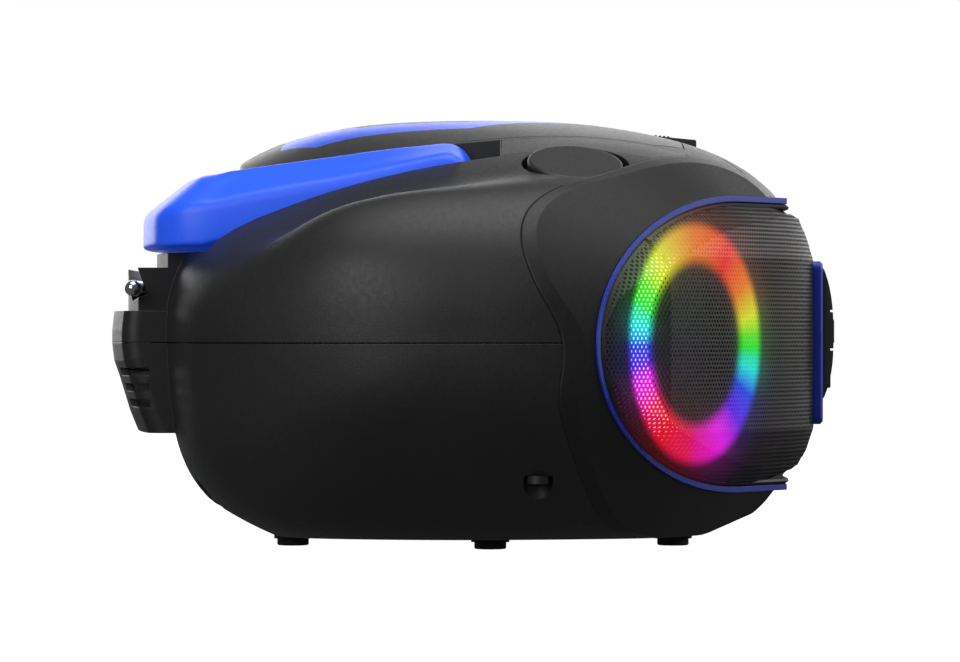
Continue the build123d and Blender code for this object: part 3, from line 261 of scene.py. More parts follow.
blue = moulded("satin_blue", (0.016, 0.105, 0.93), (0.020, 0.125, 1.0), (0.36, 0.44),
               bump=0.12, edge=0.0016, specular=0.45)
# painted light: a faint blue emission on the handle plastic, which is no lamp, lifting it like a fill light
blue.set(Emission_Color=(0.020, 0.105, 1.0, 1), Emission_Strength=0.22)
inlay_blue = moulded("inlay_blue", (0.012, 0.085, 0.80), (0.016, 0.105, 0.92), (0.34, 0.42),
                     bump=0.12, specular=0.45)
# painted shade: a darker copy of the handle blue for the front trim and console frame, standing in for the shade in
# their recess
shaded_trim_blue = moulded("shaded_trim_blue", (0.006, 0.030, 0.42), (0.008, 0.040, 0.52), (0.38, 0.48),
                    bump=0.10, edge=0.0003)
strips = moulded("strip_black", (0.014, 0.014, 0.015), (0.020, 0.020, 0.021), (0.40, 0.48),
                 bump=0.25, edge=0.0005)
lid_black = moulded("lid_black", (0.021, 0.021, 0.021), (0.028, 0.028, 0.027), (0.42, 0.50),
                    bump=0.28, edge=0.0006)
panel = moulded("panel_grey", (0.030, 0.031, 0.029), (0.042, 0.044, 0.040), (0.32, 0.42),
                bump=0.15, edge=0.0006)
key_look = moulded("key_grey", (0.040, 0.042, 0.038), (0.055, 0.057, 0.052), (0.34, 0.42),
                   bump=0.15, edge=0.0004)
button_look = moulded("button_black", (0.010, 0.010, 0.011), (0.016, 0.016, 0.017), (0.30, 0.40),
                      bump=0.15, edge=0.0003)
knob_look = moulded("knob_black", (0.015, 0.015, 0.016), (0.021, 0.021, 0.022), (0.36, 0.44),
                    bump=0.22, edge=0.0006)
black_parts = moulded("inner_black", (0.012, 0.012, 0.012), (0.020, 0.020, 0.020), (0.5, 0.65),
                      bump=0.25)
rubber = moulded("rubber", (0.010, 0.010, 0.010), (0.018, 0.018, 0.017), (0.72, 0.88),
                 grain=900, bump=0.45, edge=0.0005, specular=0.3)
white_plastic = moulded("white_plastic", (0.62, 0.62, 0.58), (0.72, 0.72, 0.68), (0.35, 0.45),
                        bump=0.15)
cone_look = moulded("paper_cone", (0.010, 0.010, 0.011), (0.022, 0.022, 0.023), (0.7, 0.9),
                    grain=700, bump=0.5, specular=0.25)
steel = moulded("steel", (0.42, 0.42, 0.43), (0.58, 0.58, 0.60), (0.26, 0.42), grain=900,
                bump=0.12, metallic=1.0, edge=0.0002)
chrome = moulded("chrome", (0.62, 0.63, 0.65), (0.74, 0.75, 0.77), (0.08, 0.16), grain=600,
                 bump=0.03, metallic=1.0, edge=0.0002)
aluminium = moulded("aluminium", (0.50, 0.51, 0.52), (0.62, 0.63, 0.64), (0.32, 0.48),
                    grain=1400, bump=0.2, metallic=1.0)
magnet = moulded("ferrite", (0.020, 0.020, 0.022), (0.045, 0.044, 0.044), (0.55, 0.75),
                 grain=500, bump=0.5)
glass = moulded("pickup_glass", (0.10, 0.16, 0.30), (0.16, 0.22, 0.38), (0.04, 0.08), bump=0.02)

board = Look("circuit_board")
veins = board.put("TexBrick", Vector=board.coord, Scale=220.0, Mortar_Size=0.012,
                  Color1=(0.010, 0.085, 0.030, 1), Color2=(0.014, 0.10, 0.038, 1),
                  Mortar=(0.03, 0.16, 0.06, 1))
board.set(Base_Color=veins.outputs[0], Roughness=board.span(board.noise(300), 0.3, 0.7, 0.3, 0.5),
          Normal=board.bump(board.noise(800), 0.15))

lcd = Look("lcd_face")
lcd.set(Base_Color=lcd.ramp(lcd.noise(900), [(0.3, (0.012, 0.016, 0.022)), (0.7, (0.018, 0.024, 0.032))]),
        Roughness=lcd.span(lcd.noise(400), 0.3, 0.7, 0.15, 0.25), Normal=lcd.bump(lcd.noise(2000), 0.05))

window = Look("smoked_window")
window.set(Base_Color=window.ramp(window.noise(60), [(0.3, (0.16, 0.17, 0.19)), (0.7, (0.22, 0.23, 0.25))]),
           Roughness=window.span(window.noise(300), 0.3, 0.7, 0.05, 0.10), Transmission_Weight=0.85,
           IOR=1.46, Normal=window.bump(window.noise(900), 0.03))

lamp = Look("ring_lamp")
lamp_colour, lamp_rho = glow(lamp)
soft = lamp.math("MULTIPLY", lamp.span(lamp_rho, 0.0262, 0.0285, 0.45, 1, True),
                 lamp.span(lamp_rho, 0.0342, 0.0362, 1, 0.45, True))
beads = lamp.span(lamp.noise(260, 1), 0.3, 0.7, 0.88, 1.12)
lamp.set(Base_Color=lamp.mix_colour(0.5, (0.7, 0.7, 0.7), lamp_colour),
         Emission_Color=lamp.mix_colour(0.34, lamp_colour, (1, 1, 1)),
         Emission_Strength=lamp.math("MULTIPLY", lamp.math("MULTIPLY", soft, beads), 1.9),
         Roughness=lamp.span(lamp.noise(900), 0.3, 0.7, 0.45, 0.6),
         Normal=lamp.bump(lamp.noise(1500), 0.1))

mesh_look = Look("grille_metal")
g_colour, g_rho = glow(mesh_look)
# painted light: the ring light's glow painted as emission on the grille metal, strong over the ring and a faint halo
# around it
inner_edge = mesh_look.span(g_rho, 0.0225, 0.0280, 0, 1, True)
outer_edge = mesh_look.span(g_rho, 0.0345, 0.0390, 1, 0, True)
painted_glow_core = mesh_look.math("MULTIPLY", inner_edge, outer_edge)
painted_glow_halo = mesh_look.math("MULTIPLY", mesh_look.span(g_rho, 0.014, 0.030, 0, 1, True),
                      mesh_look.span(g_rho, 0.034, 0.054, 1, 0, True))
painted_glow_halo = mesh_look.math("MULTIPLY", mesh_look.math("MULTIPLY", painted_glow_halo, painted_glow_halo), 0.07)
g_slow = mesh_look.noise(35, 3)
g_fine = mesh_look.noise(1500, 2)
mesh_look.set(
    Base_Color=mesh_look.mix_colour(mesh_look.span(mesh_look.math("MULTIPLY_ADD", g_fine, 0.5,
                                    mesh_look.math("MULTIPLY", g_slow, 0.5)), 0.35, 0.65, 0, 1),
                                    (0.022, 0.019, 0.018), (0.038, 0.033, 0.031)),
    Roughness=mesh_look.span(g_fine, 0.3, 0.7, 0.42, 0.56), Metallic=0.25,
    Emission_Color=g_colour,
    Emission_Strength=mesh_look.math("ADD", mesh_look.math("MULTIPLY", painted_glow_core, 0.58), painted_glow_halo),
    Normal=mesh_look.bump(g_fine, 0.2, 0.0001))

screw_black = moulded("screw_black", (0.012, 0.012, 0.013), (0.026, 0.026, 0.027), (0.35, 0.5), bump=0.25)
# painted shade: a darker copy of the shell black for the front cabinet, standing in for the shade on its front bevel
shaded_front_black = moulded("shaded_front_black", (0.0085, 0.0085, 0.009), (0.0118, 0.0118, 0.0122), (0.46, 0.55),
                      bump=0.30, edge=0.0006, specular=0.42)
LOOKS = {
    "handle": blue, "lid_trim": inlay_blue, "front_trim": shaded_trim_blue, "console_frame": shaded_trim_blue,
    "cd_lid": lid_black, "channel_strips": strips,
    "volume_knob": knob_look, "tuning_knob": knob_look, "left_grille": mesh_look,
    "right_grille": mesh_look, "console_panel": panel, "display_lens": window, "lcd_module": lcd,
    "power_button": button_look, "key_board": board, "main_board": board, "led_boards": board,
    "usb_socket": steel, "audio_jacks": black_parts, "rotary_controls": steel,
    "hinge_pins": steel, "cd_well": black_parts, "damper_mounts": rubber,
    "mechanism_chassis": white_plastic, "guide_rods": steel, "spindle_motor": steel,
    "turntable": black_parts, "pickup_sled": black_parts, "pickup_lens": glass,
    "sled_gear": white_plastic, "sled_motor": steel, "handle_pivots": steel,
    "antenna_base": black_parts, "antenna_knuckle": chrome, "antenna_outer": chrome,
    "antenna_middle": chrome, "antenna_tip": chrome, "led_rings": lamp,
    "speaker_baskets": black_parts, "speaker_magnets": magnet, "left_cone": cone_look,
    "right_cone": cone_look, "cone_surrounds": rubber, "ac_inlet": black_parts,
    "transformer": steel, "heat_sink": aluminium, "battery_door": shell,
    "battery_contacts": steel, "foot_pads": rubber, "case_screws": screw_black,
    "upper_cabinet": shell, "lower_cabinet": shell, "front_cabinet": shaded_front_black,
}
for name in ("stop_key", "back_key", "play_key", "next_key", "mode_key", "source_key", "light_key"):
    LOOKS[name] = key_look
for name, o in nodes.items():
    look = LOOKS[name]
    if not o.material_slots:
        o.data.materials.append(look.mat)
    for s in o.material_slots:
        s.material = look.mat


# ---------------------------------------------------------------------------
# Perforated grilles
# ---------------------------------------------------------------------------
PLAN = np.array([(-154.8, -35.6), (-140, -59), (-125, -71.5), (-110, -82.5), (-95, -92), (-80, -99.5),
                 (-65, -105.3), (-50, -109), (-25, -111), (0, -111.6)])
RISE = np.array([(17.0, 14.2), (17.9, 13.0), (19, 11.9), (24.3, 4.6), (29.8, 2.1), (36.6, 0.3), (64, 0),
                 (90.9, 0.3), (97.3, 2.0), (104.3, 4.1), (108.5, 10.6), (109.2, 11.8), (111, 14.5)])


def smooth_plan():
    """Dense plan curve, straight at the outer end and a natural cubic from there."""
    p = PLAN[1:]
    t = np.concatenate([[0], np.cumsum(np.linalg.norm(np.diff(p, axis=0), axis=1))])
    n = len(t)
    h = np.diff(t)
    out = []
    for col in range(2):
        y = p[:, col]
        m = np.zeros((n, n))
        r = np.zeros(n)
        m[0, 0] = m[-1, -1] = 1
        for i in range(1, n - 1):
            m[i, i - 1], m[i, i], m[i, i + 1] = h[i - 1], 2 * (h[i - 1] + h[i]), h[i]
            r[i] = 6 * ((y[i + 1] - y[i]) / h[i] - (y[i] - y[i - 1]) / h[i - 1])
        s2 = np.linalg.solve(m, r)
        q = np.linspace(0, t[-1], 900)
        k = np.clip(np.searchsorted(t, q) - 1, 0, n - 2)
        a, b = (t[k + 1] - q) / h[k], (q - t[k]) / h[k]
        out.append(a * y[k] + b * y[k + 1]
                   + ((a ** 3 - a) * s2[k] + (b ** 3 - b) * s2[k + 1]) * h[k] ** 2 / 6)
    curve = np.stack(out, 1)
    lead = np.linspace(0, 1, 60)[:-1, None] * (PLAN[1] - PLAN[0]) + PLAN[0]
    return np.vstack([lead, curve])[::-1]          # starts in the middle, runs outwards


CURVE = smooth_plan()
CURVE_S = np.concatenate([[0], np.cumsum(np.linalg.norm(np.diff(CURVE, axis=0), axis=1))])
TANGENT = np.gradient(CURVE, CURVE_S, axis=0)
TANGENT /= np.linalg.norm(TANGENT, axis=1)[:, None]


def plan_at(s):
    x = np.interp(s, CURVE_S, CURVE[:, 0])
    y = np.interp(s, CURVE_S, CURVE[:, 1])
    tx = np.interp(s, CURVE_S, TANGENT[:, 0])
    ty = np.interp(s, CURVE_S, TANGENT[:, 1])
    return x, y, -ty, tx          # place and outward normal, which is the tangent turned


def rise_at(z):
    return np.interp(z, RISE[:, 0], RISE[:, 1])


def plan_y(x):
    """Y of the plan curve at x, left side."""
    return np.interp(x, CURVE[::-1, 0], CURVE[::-1, 1])


def limit_ok(p):
    """Is the point inside the tapered outline of the pod?"""
    d = p - POD_C
    u, v, w = d @ POD_U, d[:, 2], d @ POD_N
    i = 1.9 + 0.7 * np.clip(w, 0, 20)
    b0, c = (POD_TOP - POD_BOT) / 2, (POD_TOP + POD_BOT) / 2 - POD_C[2]
    q = (np.minimum(u - ELL_U, 0) / (ELL_A - i)) ** 2 + ((v - c) / (b0 - i)) ** 2
    return (q <= 1) & (w > -1.0)


def sheet_points(s, z, back=0.0):
    """Outer face of the grille for arc length s and height z, with a flag for a miss."""
    x, y, nx, ny = plan_at(s)
    p0 = np.stack([x, y + rise_at(z), z], 1)
    n = np.stack([nx, ny, np.zeros_like(nx)], 1)
    lo, hi = np.zeros(len(s)), np.full(len(s), 34.0)
    ok0 = limit_ok(p0)
    hit_any = limit_ok(p0 - n * hi[:, None]) | ok0
    steps = np.linspace(0, 34, 69)
    found = np.where(ok0, 0.0, np.nan)
    for a in steps[1:]:
        m = np.isnan(found)
        if not m.any():
            break
        good = limit_ok(p0[m] - n[m] * a)
        idx = np.where(m)[0][good]
        found[idx] = a
    miss = np.isnan(found)
    hi = np.where(miss, 0, found)
    lo = np.maximum(hi - 0.5, 0)
    for _ in range(12):
        mid = (lo + hi) / 2
        good = limit_ok(p0 - n * mid[:, None])
        hi, lo = np.where(good, mid, hi), np.where(good, lo, mid)
    return p0 - n * hi[:, None], miss


PITCH = 1.5
ROW = PITCH * math.sqrt(3) / 2


def grille_cells():
    """Hexagon cells over the left grille, each given by its centre."""
    cells = []
    rows = int((112 - 16) / ROW)
    for r in range(rows):
        z = 16.3 + r * ROW
        shift = 0.5 if r % 2 else 1.0
        for c in range(int(CURVE_S[-1] / PITCH) + 1):
            cells.append(((c + shift) * PITCH, z))
    return np.array(cells)


cells = grille_cells()
angles = np.radians(30 + 60 * np.arange(6))
corner = np.stack([np.cos(angles), np.sin(angles)], 1)
outer_r, hole_r = PITCH / math.sqrt(3), 0.53
outs = cells[:, None, :] + corner[None] * outer_r
holes = cells[:, None, :] + corner[None] * hole_r
flat_outs = outs.reshape(-1, 2)
keys = np.round(flat_outs * 50).astype(int)
uniq, inverse = np.unique(keys, axis=0, return_inverse=True)
inverse = inverse.reshape(-1)
first = np.zeros(len(uniq), int)
first[inverse[::-1]] = np.arange(len(flat_outs))[::-1]
corner_sz = flat_outs[first]
corner_sz[:, 0] = np.clip(corner_sz[:, 0], 0.15, CURVE_S[-1])
out_p, out_miss = sheet_points(corner_sz[:, 0], corner_sz[:, 1])
hole_p, hole_miss = sheet_points(np.clip(holes.reshape(-1, 2)[:, 0], 0.15, CURVE_S[-1]), holes.reshape(-1, 2)[:, 1])
cell_out = inverse.reshape(-1, 6)
out_bad = out_miss[cell_out].any(1) | hole_miss.reshape(-1, 6).any(1)
cell_p, _ = sheet_points(np.clip(cells[:, 0], 0.15, CURVE_S[-1]), cells[:, 1])
behind = (np.abs(cell_p[:, 0]) < 51.3) & (cells[:, 1] > 38.5) & (cells[:, 1] < 89.7) & (cell_p[:, 1] < -95)
# a cell whose corners are pulled far apart would bridge the rim
spread = np.linalg.norm(out_p[cell_out] - cell_p[:, None, :], axis=2).max(1)
live = ~out_bad & ~behind & (spread < 3.2)
# cell centres placed on the sheet once more; the result is not used
sz_margin, m_miss = sheet_points(np.clip(cells[:, 0], 0.15, CURVE_S[-1]), cells[:, 1])


def make_grille(name, mask, side):
    bm = bmesh.new()
    made = {}

    def vert(key, p):
        if key not in made:
            made[key] = bm.verts.new((side * -p[0] / 1000, (p[1] + OY) / 1000, p[2] / 1000))
        return made[key]

    for c in np.where(mask)[0]:
        ring_out = [vert(("o", int(i)), out_p[i]) for i in cell_out[c]]
        ring_in = [vert(("h", int(c), j), hole_p[c * 6 + j]) for j in range(6)]
        for j in range(6):
            k = (j + 1) % 6
            f = (ring_out[j], ring_out[k], ring_in[k], ring_in[j])
            bm.faces.new(f if side < 0 else f[::-1])
    bm.normal_update()
    mesh = bpy.data.meshes.new(name)
    bm.to_mesh(mesh)
    bm.free()
    o = bpy.data.objects.new(name, mesh)
    scene.collection.objects.link(o)
    probe = mesh.polygons[len(mesh.polygons) // 2].normal
    if probe.y > 0:
        mesh.flip_normals()
    thick = o.modifiers.new("sheet", "SOLIDIFY")
    thick.thickness = 0.0007
    thick.offset = -1
    mesh.materials.append(mesh_look.mat)
    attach(o, "cabinet")
    return o


half = float(np.median(cells[live, 0]))
for side, word in ((1, "right"), (-1, "left")):
    a = make_grille(word + "_grille_front", live & (cells[:, 0] < half), side)
    b = make_grille(word + "_grille_end", live & (cells[:, 0] >= half), side)
    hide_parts(word + "_grille")
    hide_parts(word + "_grille")


def ribbon(name, rings, look, body="cabinet", closed_section=True, close=False):
    """A closed skin through rings of points, millimetres."""
    bm = bmesh.new()
    rows = [[bm.verts.new((p[0] / 1000, (p[1] + OY) / 1000, p[2] / 1000)) for p in ring] for ring in rings]
    count = len(rows) if close else len(rows) - 1
    for i in range(count):
        a, b = rows[i], rows[(i + 1) % len(rows)]
        for j in range(len(a)):
            k = (j + 1) % len(a)
            bm.faces.new((a[j], a[k], b[k], b[j]))
    if not close:
        bm.faces.new(rows[0][::-1])
        bm.faces.new(rows[-1])
    bmesh.ops.recalc_face_normals(bm, faces=bm.faces)
    mesh = bpy.data.meshes.new(name)
    bm.to_mesh(mesh)
    bm.free()
    o = bpy.data.objects.new(name, mesh)
    scene.collection.objects.link(o)
    mesh.materials.append(look.mat)
    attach(o, body)
    return o


def rim_path(inset, w):
    """Points round the pod outline at an inset, on the plane w, from the middle of the front and back to it."""
    b0, c = (POD_TOP - POD_BOT) / 2, (POD_TOP + POD_BOT) / 2 - POD_C[2]
    pts = []
    far = 55.09
    run = np.linspace(-0.3, (POD_C + POD_U * far)[0], 12)[:-1]
    for u in np.linspace(far, ELL_U, 10)[:-1]:
        pts.append((u, c + b0 - inset))
    for t in np.linspace(90, 270, 73):
        t = math.radians(t)
        pts.append((ELL_U + (ELL_A - inset) * math.cos(t), c + (b0 - inset) * math.sin(t)))
    for u in np.linspace(ELL_U, far, 10)[1:]:
        pts.append((u, c - b0 + inset))
    pod = [POD_C + POD_U * u + np.array([0, 0, v]) + POD_N * w for u, v in pts]
    y_mid = (POD_C + POD_U * far)[1] - w
    top = [np.array([x, y_mid, pod[0][2]]) for x in run]
    low = [np.array([x, y_mid, pod[-1][2]]) for x in run[::-1]]
    return top + pod + low


# solid folded rim of each grille, in its slot behind the trim
rim_rows = [rim_path(1.92, -0.8), rim_path(1.92, 0.0), rim_path(2.9, 1.4), rim_path(3.6, 1.2),
            rim_path(2.7, -0.8)]
for sgn, word in ((-1, "left"), (1, "right")):
    rings = []
    for i in range(len(rim_rows[0])):
        ring = [r[i] for r in rim_rows]
        if max(p[0] for p in ring) > -0.25:
            continue
        rings.append([(p[0] * (-sgn), p[1], p[2]) for p in ring])
    ribbon(word + "_grille_rim", rings, mesh_look)


# ---------------------------------------------------------------------------
# Carrying handle: one moulded piece, swept from arm tip to arm tip
# ---------------------------------------------------------------------------
def natural_curve(points, n=600):
    """Dense natural cubic through Y, Z points."""
    p = np.array(points, float)
    t = np.concatenate([[0], np.cumsum(np.linalg.norm(np.diff(p, axis=0), axis=1))])
    m_count = len(t)
    h = np.diff(t)
    out = []
    for col in range(2):
        y = p[:, col]
        m = np.zeros((m_count, m_count))
        r = np.zeros(m_count)
        m[0, 0] = m[-1, -1] = 1
        for i in range(1, m_count - 1):
            m[i, i - 1], m[i, i], m[i, i + 1] = h[i - 1], 2 * (h[i - 1] + h[i]), h[i]
            r[i] = 6 * ((y[i + 1] - y[i]) / h[i] - (y[i] - y[i - 1]) / h[i - 1])
        s2 = np.linalg.solve(m, r)
        q = np.linspace(0, t[-1], n)
        k = np.clip(np.searchsorted(t, q) - 1, 0, m_count - 2)
        a, b = (t[k + 1] - q) / h[k], (q - t[k]) / h[k]
        out.append(a * y[k] + b * y[k + 1] + ((a ** 3 - a) * s2[k] + (b ** 3 - b) * s2[k + 1]) * h[k] ** 2 / 6)
    c = np.stack(out, 1)
    return c[np.argsort(c[:, 0])]


side_top = natural_curve([(1.2, 112), (2.1, 116.6), (4.4, 120.6), (8.5, 122.9), (14, 122.5), (41, 116.4), (62, 112.8), (97, 105.2)])
crown = natural_curve([(0.6, 117.6), (2.9, 123.8), (7.6, 127.3), (14, 127.3), (25, 126.2), (44.5, 123.6), (65, 120.8), (86, 117.6)])
BELLY = np.array([(1.2, 112), (5, 107), (14, 103.8), (24, 106.5), (29, 110.6), (41, 109), (56, 104), (72, 98), (89.5, 94.6), (97, 94.6)])


def bez(a, b, c, t):
    a, b, c = np.array(a, float), np.array(b, float), np.array(c, float)
    return a * (1 - t) ** 2 + 2 * b * t * (1 - t) + c * t * t


def softened(corners, radii_in):
    """Each corner of a closed outline replaced by a short curve."""
    out = []
    n = len(corners)
    for i in range(n):
        p0, p1, p2 = corners[i - 1], corners[i], corners[(i + 1) % n]
        la, lb = np.linalg.norm(p0 - p1), np.linalg.norm(p2 - p1)
        ra, rb = min(radii_in[i], la * 0.45), min(radii_in[i], lb * 0.45)
        a = p1 + (p0 - p1) / max(la, 1e-6) * ra
        c = p1 + (p2 - p1) / max(lb, 1e-6) * rb
        for t in (0, 0.25, 0.5, 0.75, 1):
            out.append(bez(a, p1, c, t))
    return out


def handle_section(o_xy, i_xy, z_low_o, z_side, z_mid, f_mid, z_top, f_top, z_in, z_low_i):
    o_xy, i_xy = np.array(o_xy, float), np.array(i_xy, float)

    def at(f, z):
        return np.append(o_xy + (i_xy - o_xy) * f, z)

    corners = [at(0, z_low_o), at(0, z_side), at(f_mid, z_mid), at(f_top, z_top), at(1, z_in), at(1, z_low_i + 1.2),
               at(0.93, z_low_i)]
    return softened(corners, [1.2, 3.0, 3.0, 1.5, 1.0, 0.8, 0.8])


sections = []
for g in 1 - np.cos(np.linspace(0.03, math.pi / 2, 46)):
    ya, yb = 1.2 + g * 82.8, 0.6 + g * 75.4
    za, zb = np.interp(ya, side_top[:, 0], side_top[:, 1]), np.interp(yb, crown[:, 0], crown[:, 1])
    la, lb = np.interp(ya, BELLY[:, 0], BELLY[:, 1]), np.interp(yb, BELLY[:, 0], BELLY[:, 1])
    za, zb = max(za, la + 0.4), max(zb, lb + 0.8)
    sections.append(handle_section((-96.0, ya), (-77.0, yb), la, za, za + (zb - za) * 0.52, 0.5, zb, 0.92, zb - 0.9, lb))
g_end = sections[-1]
for c in np.linspace(0, 1, 13)[1:-1]:
    o_xy, i_xy = bez((-96, 84), (-96, 99.9), (-82, 102.64), c), bez((-77, 76), (-76.8, 79.0), (-74, 79.57), c)
    w = c * c * (3 - 2 * c)
    za = np.interp(84, side_top[:, 0], side_top[:, 1])
    zb = np.interp(76, crown[:, 0], crown[:, 1])
    sections.append(handle_section(o_xy, i_xy, 94.9 + (94.6 - 94.9) * w, za + (105.3 - za) * w,
                                   (za + (zb - za) * 0.52) * (1 - w) + 117.2 * w, 0.5 + 0.128 * w,
                                   zb + (117.9 - zb) * w, 0.92 - 0.02 * w, (zb - 0.9) * (1 - w) + 113 * w,
                                   np.interp(76, BELLY[:, 0], BELLY[:, 1]) * (1 - w) + 94.6 * w))
for f in np.linspace(1, 0, 30):
    xo, xi = -82 * f, -74 * f
    yo = 110.8 - (417 - math.sqrt(417 ** 2 - xo ** 2))
    yi = 86.6 - (392.8 - math.sqrt(392.8 ** 2 - xi ** 2))
    sections.append(handle_section((xo, yo), (xi, yi), 94.6, 105.3, 117.2, 0.628, 117.9, 0.90, 113, 94.6))
mirrored = [[p * np.array([-1, 1, 1]) for p in ring] for ring in sections[-2::-1]]
grip = ribbon("handle_moulding", sections + mirrored, blue, body="handle")
for f in grip.data.polygons:
    f.use_smooth = True
bm = bmesh.new()
for x0, x1 in ((-90.5, -70.0), (70.0, 90.5)):
    ring_a, ring_b = [], []
    for k in range(64):
        t = 2 * math.pi * k / 64
        y, z = 14 + 4.08 * math.cos(t), 115 + 4.08 * math.sin(t)
        ring_a.append(bm.verts.new((x0 / 1000, (y + OY) / 1000, z / 1000)))
        ring_b.append(bm.verts.new((x1 / 1000, (y + OY) / 1000, z / 1000)))
    bm.faces.new(ring_a)
    bm.faces.new(ring_b[::-1])
    for k in range(64):
        j = (k + 1) % 64
        bm.faces.new((ring_a[k], ring_a[j], ring_b[j], ring_b[k]))
bmesh.ops.recalc_face_normals(bm, faces=bm.faces)
cutter_mesh = bpy.data.meshes.new("pivot_cutter")
bm.to_mesh(cutter_mesh)
bm.free()
cutter = bpy.data.objects.new("pivot_cutter", cutter_mesh)
scene.collection.objects.link(cutter)
cut = grip.modifiers.new("pivot_holes", "BOOLEAN")
cut.operation, cut.solver, cut.object = "DIFFERENCE", "EXACT", cutter
bpy.context.view_layer.update()
cut_mesh = bpy.data.meshes.new_from_object(grip.evaluated_get(bpy.context.evaluated_depsgraph_get()))
grip.modifiers.clear()
grip.data = cut_mesh
bpy.data.objects.remove(cutter)
bpy.data.meshes.remove(cutter_mesh)
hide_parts("handle")


# ---------------------------------------------------------------------------
# Ring lights: a light guide that stands behind the grille and follows it
# ---------------------------------------------------------------------------
def under_grille(q, gap):
    """Moves each point of the baffle outwards along X until it is gap short of the grille."""
    lo, hi = np.zeros(len(q)), np.full(len(q), 45.0)

    def inside(t):
        p = q - np.array([1.0, 0, 0]) * t[:, None] + POD_N * gap
        return (p[:, 1] > plan_y(p[:, 0]) + rise_at(p[:, 2])) & limit_ok(p) & (p[:, 0] > -154)

    for _ in range(22):
        mid = (lo + hi) / 2
        good = inside(mid)
        lo, hi = np.where(good, mid, lo), np.where(good, hi, mid)
    return q - np.array([1.0, 0, 0]) * lo[:, None]


radii = [RING_RI, RING_RI + 0.5, 28.5, 31.2, 33.8, RING_R - 0.5, RING_R]
turns = 144
for sgn, word in ((-1, "left"), (1, "right")):
    base, tops = [], []
    for rad in radii:
        t = np.linspace(0, 2 * math.pi, turns, endpoint=False)
        base.append(POD_C + np.outer(rad * np.cos(t), POD_U) + np.outer(rad * np.sin(t), (0, 0, 1)) - POD_N * 0.1)
    for k, b in enumerate(base):
        gap = 2.0 + (0.5 if k in (0, len(radii) - 1) else 0.0)
        tops.append(under_grille(b, gap))
    rings = []
    for i in range(turns):
        ring = [tops[k][i] for k in range(len(radii))] + [base[-1][i], base[0][i]]
        rings.append([(p[0] * (-sgn), p[1], p[2]) for p in ring])
    o = ribbon(word + "_light_ring", rings, lamp, close=True)
    for f in o.data.polygons:
        f.use_smooth = True
    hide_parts("led_rings")


# ---------------------------------------------------------------------------
# Key symbols and display figures
# ---------------------------------------------------------------------------
def plates(name, outlines, y, depth, look, body):
    """Thin raised plates on a face that looks to the front. Outlines are X, Z in millimetres."""
    bm = bmesh.new()
    for outline in outlines:
        a = [bm.verts.new((x / 1000, (y - depth + OY) / 1000, z / 1000)) for x, z in outline]
        b = [bm.verts.new((x / 1000, (y + 0.05 + OY) / 1000, z / 1000)) for x, z in outline]
        bm.faces.new(a)
        bm.faces.new(b[::-1])
        for i in range(len(a)):
            j = (i + 1) % len(a)
            bm.faces.new((a[i], b[i], b[j], a[j]))
    bmesh.ops.recalc_face_normals(bm, faces=bm.faces)
    mesh = bpy.data.meshes.new(name)
    bm.to_mesh(mesh)
    bm.free()
    o = bpy.data.objects.new(name, mesh)
    scene.collection.objects.link(o)
    mesh.materials.append(look.mat)
    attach(o, body)
    return o


mark = moulded("mark_white", (0.62, 0.63, 0.64), (0.72, 0.73, 0.74), (0.4, 0.5), bump=0.1)


def tri(cx, cz, w, h, way=1):
    return [(cx - way * w / 2, cz - h / 2), (cx + way * w / 2, cz), (cx - way * w / 2, cz + h / 2)]


def bar(cx, cz, w, h):
    return [(cx - w / 2, cz - h / 2), (cx + w / 2, cz - h / 2), (cx + w / 2, cz + h / 2), (cx - w / 2, cz + h / 2)]


KZ = 67.75
plates("stop_symbol", [bar(-37.2, KZ, 3, 3)], -116.0, 0.08, mark, "stop_key")
plates("back_symbol", [tri(-19.9, KZ, 2.4, 3, -1), tri(-17.5, KZ, 2.4, 3, -1), bar(-21.5, KZ, 0.5, 3)],
       -116.0, 0.08, mark, "back_key")
plates("play_symbol", [tri(-1.4, KZ, 2.8, 3.2), bar(1.3, KZ, 0.7, 3), bar(2.7, KZ, 0.7, 3)],
       -116.0, 0.08, mark, "play_key")
plates("next_symbol", [tri(17.3, KZ, 2.4, 3), tri(19.7, KZ, 2.4, 3), bar(21.3, KZ, 0.5, 3)],
       -116.0, 0.08, mark, "next_key")
plates("mode_symbol", [bar(37.2, KZ + 1.2, 4, 0.5), bar(37.2, KZ, 4, 0.5), bar(37.2, KZ - 1.2, 4, 0.5)],
       -116.0, 0.08, mark, "mode_key")
arc = [(-1.25 * math.sin(math.radians(a)), 1.25 * math.cos(math.radians(a))) for a in range(35, 326, 15)]
arc2 = [(-0.95 * math.sin(math.radians(a)), 0.95 * math.cos(math.radians(a))) for a in range(325, 34, -15)]
quads = []
for i in range(len(arc) - 1):
    j = len(arc2) - 1 - i
    quads.append([(arc[i][0], 59.1 + arc[i][1]), (arc[i + 1][0], 59.1 + arc[i + 1][1]),
                  (arc2[j - 1][0], 59.1 + arc2[j - 1][1]), (arc2[j][0], 59.1 + arc2[j][1])])
plates("power_symbol", quads + [bar(0, 60.1, 0.3, 1.2)], -118.2, 0.06, mark, "power_button")
plates("source_symbol", [bar(-27 + 1.6 * k, 52.7, 0.6, 1.2 + 0.7 * k) for k in range(-1, 3)],
       -115.1, 0.08, mark, "source_key")
sun = [bar(27, 52.7, 1.5, 1.5)]
for k in range(8):
    a = math.radians(45 * k)
    c, s = math.cos(a), math.sin(a)
    sun.append([(27 + c * 1.4 - s * 0.18, 52.7 + s * 1.4 + c * 0.18), (27 + c * 1.4 + s * 0.18, 52.7 + s * 1.4 - c * 0.18),
                (27 + c * 2.3 + s * 0.18, 52.7 + s * 2.3 - c * 0.18), (27 + c * 2.3 - s * 0.18, 52.7 + s * 2.3 + c * 0.18)])
plates("light_symbol", sun, -115.1, 0.08, mark, "light_key")

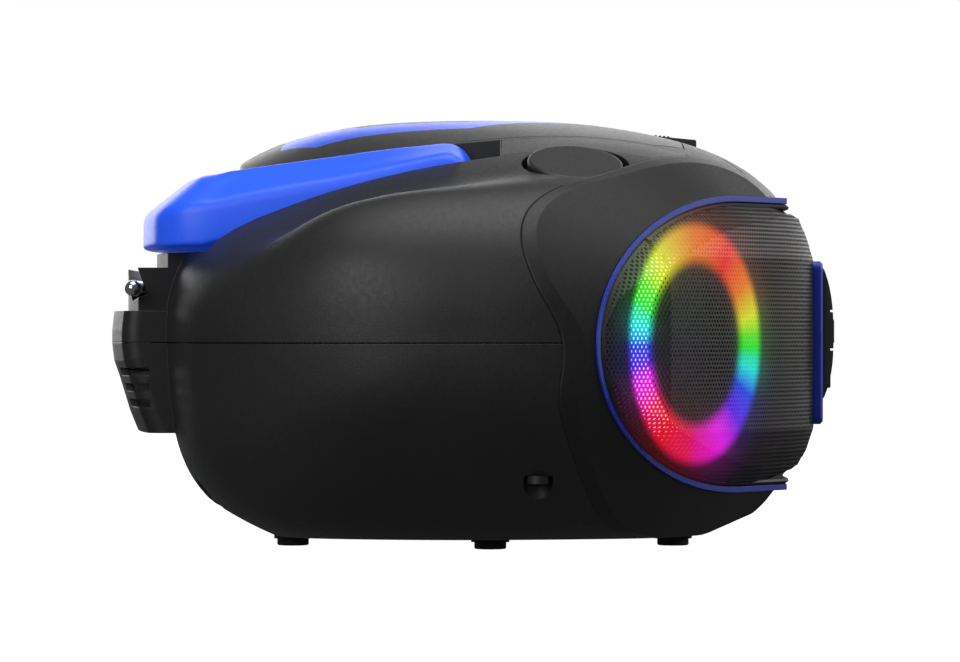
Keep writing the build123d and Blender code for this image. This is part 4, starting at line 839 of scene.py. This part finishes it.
digit_look = Look("display_light")
digit_look.set(Base_Color=(0.3, 0.5, 0.8, 1), Roughness=digit_look.span(digit_look.noise(500), 0.3, 0.7, 0.3, 0.5),
               Emission_Color=digit_look.ramp(digit_look.noise(700), [(0.3, (0.25, 0.55, 1.0)), (0.7, (0.35, 0.65, 1.0))]),
               Emission_Strength=1.6)
SEG = {"1": "bc", "0": "abcdef", "2": "abged", "5": "afgcd", "8": "abcdefg", "3": "abgcd"}


def figure(ch, x, z, w=2.4, h=4.6, t=0.45):
    out = []
    spots = {"a": (0, h / 2, 1), "g": (0, 0, 1), "d": (0, -h / 2, 1), "f": (-w / 2, h / 4, 0), "b": (w / 2, h / 4, 0),
             "e": (-w / 2, -h / 4, 0), "c": (w / 2, -h / 4, 0)}
    for s in SEG[ch]:
        dx, dz, flat = spots[s]
        a, b = (w / 2 - t * 0.6, t / 2) if flat else (t / 2, h / 4 - t * 0.6)
        out.append([(x + dx - a, z + dz - b), (x + dx + a, z + dz - b), (x + dx + a, z + dz + b), (x + dx - a, z + dz + b)])
    return out


figures = []
for ch, fx in (("1", -7.0), ("0", -3.0), ("2", 1.0), ("5", 6.6)):
    figures += figure(ch, fx, 80.6)
figures.append(bar(3.8, 78.4, 0.5, 0.5))
plates("display_figures", figures, -109.75, 0.1, digit_look, "cabinet")


# ---------------------------------------------------------------------------
# Floor
# ---------------------------------------------------------------------------
bm = bmesh.new()
step = [(-1, -1), (1, -1), (1, 1), (-1, 1)]
bm.faces.new([bm.verts.new((x * 6.0, y * 6.0, cad_box[0][2])) for x, y in step])
floor_mesh = bpy.data.meshes.new("floor")
bm.to_mesh(floor_mesh)
bm.free()
floor = bpy.data.objects.new("floor", floor_mesh)
scene.collection.objects.link(floor)
floor_look = Look("floor_white")
floor_look.set(Base_Color=floor_look.ramp(floor_look.noise(3), [(0.3, (0.28, 0.28, 0.28)), (0.7, (0.30, 0.30, 0.30))]),
               Roughness=0.9, Specular_IOR_Level=0.0, Emission_Color=(1, 1, 1, 1), Emission_Strength=1.0)
floor_mesh.materials.append(floor_look.mat)
floor.visible_diffuse = False
floor.visible_glossy = False

bpy.context.view_layer.update()
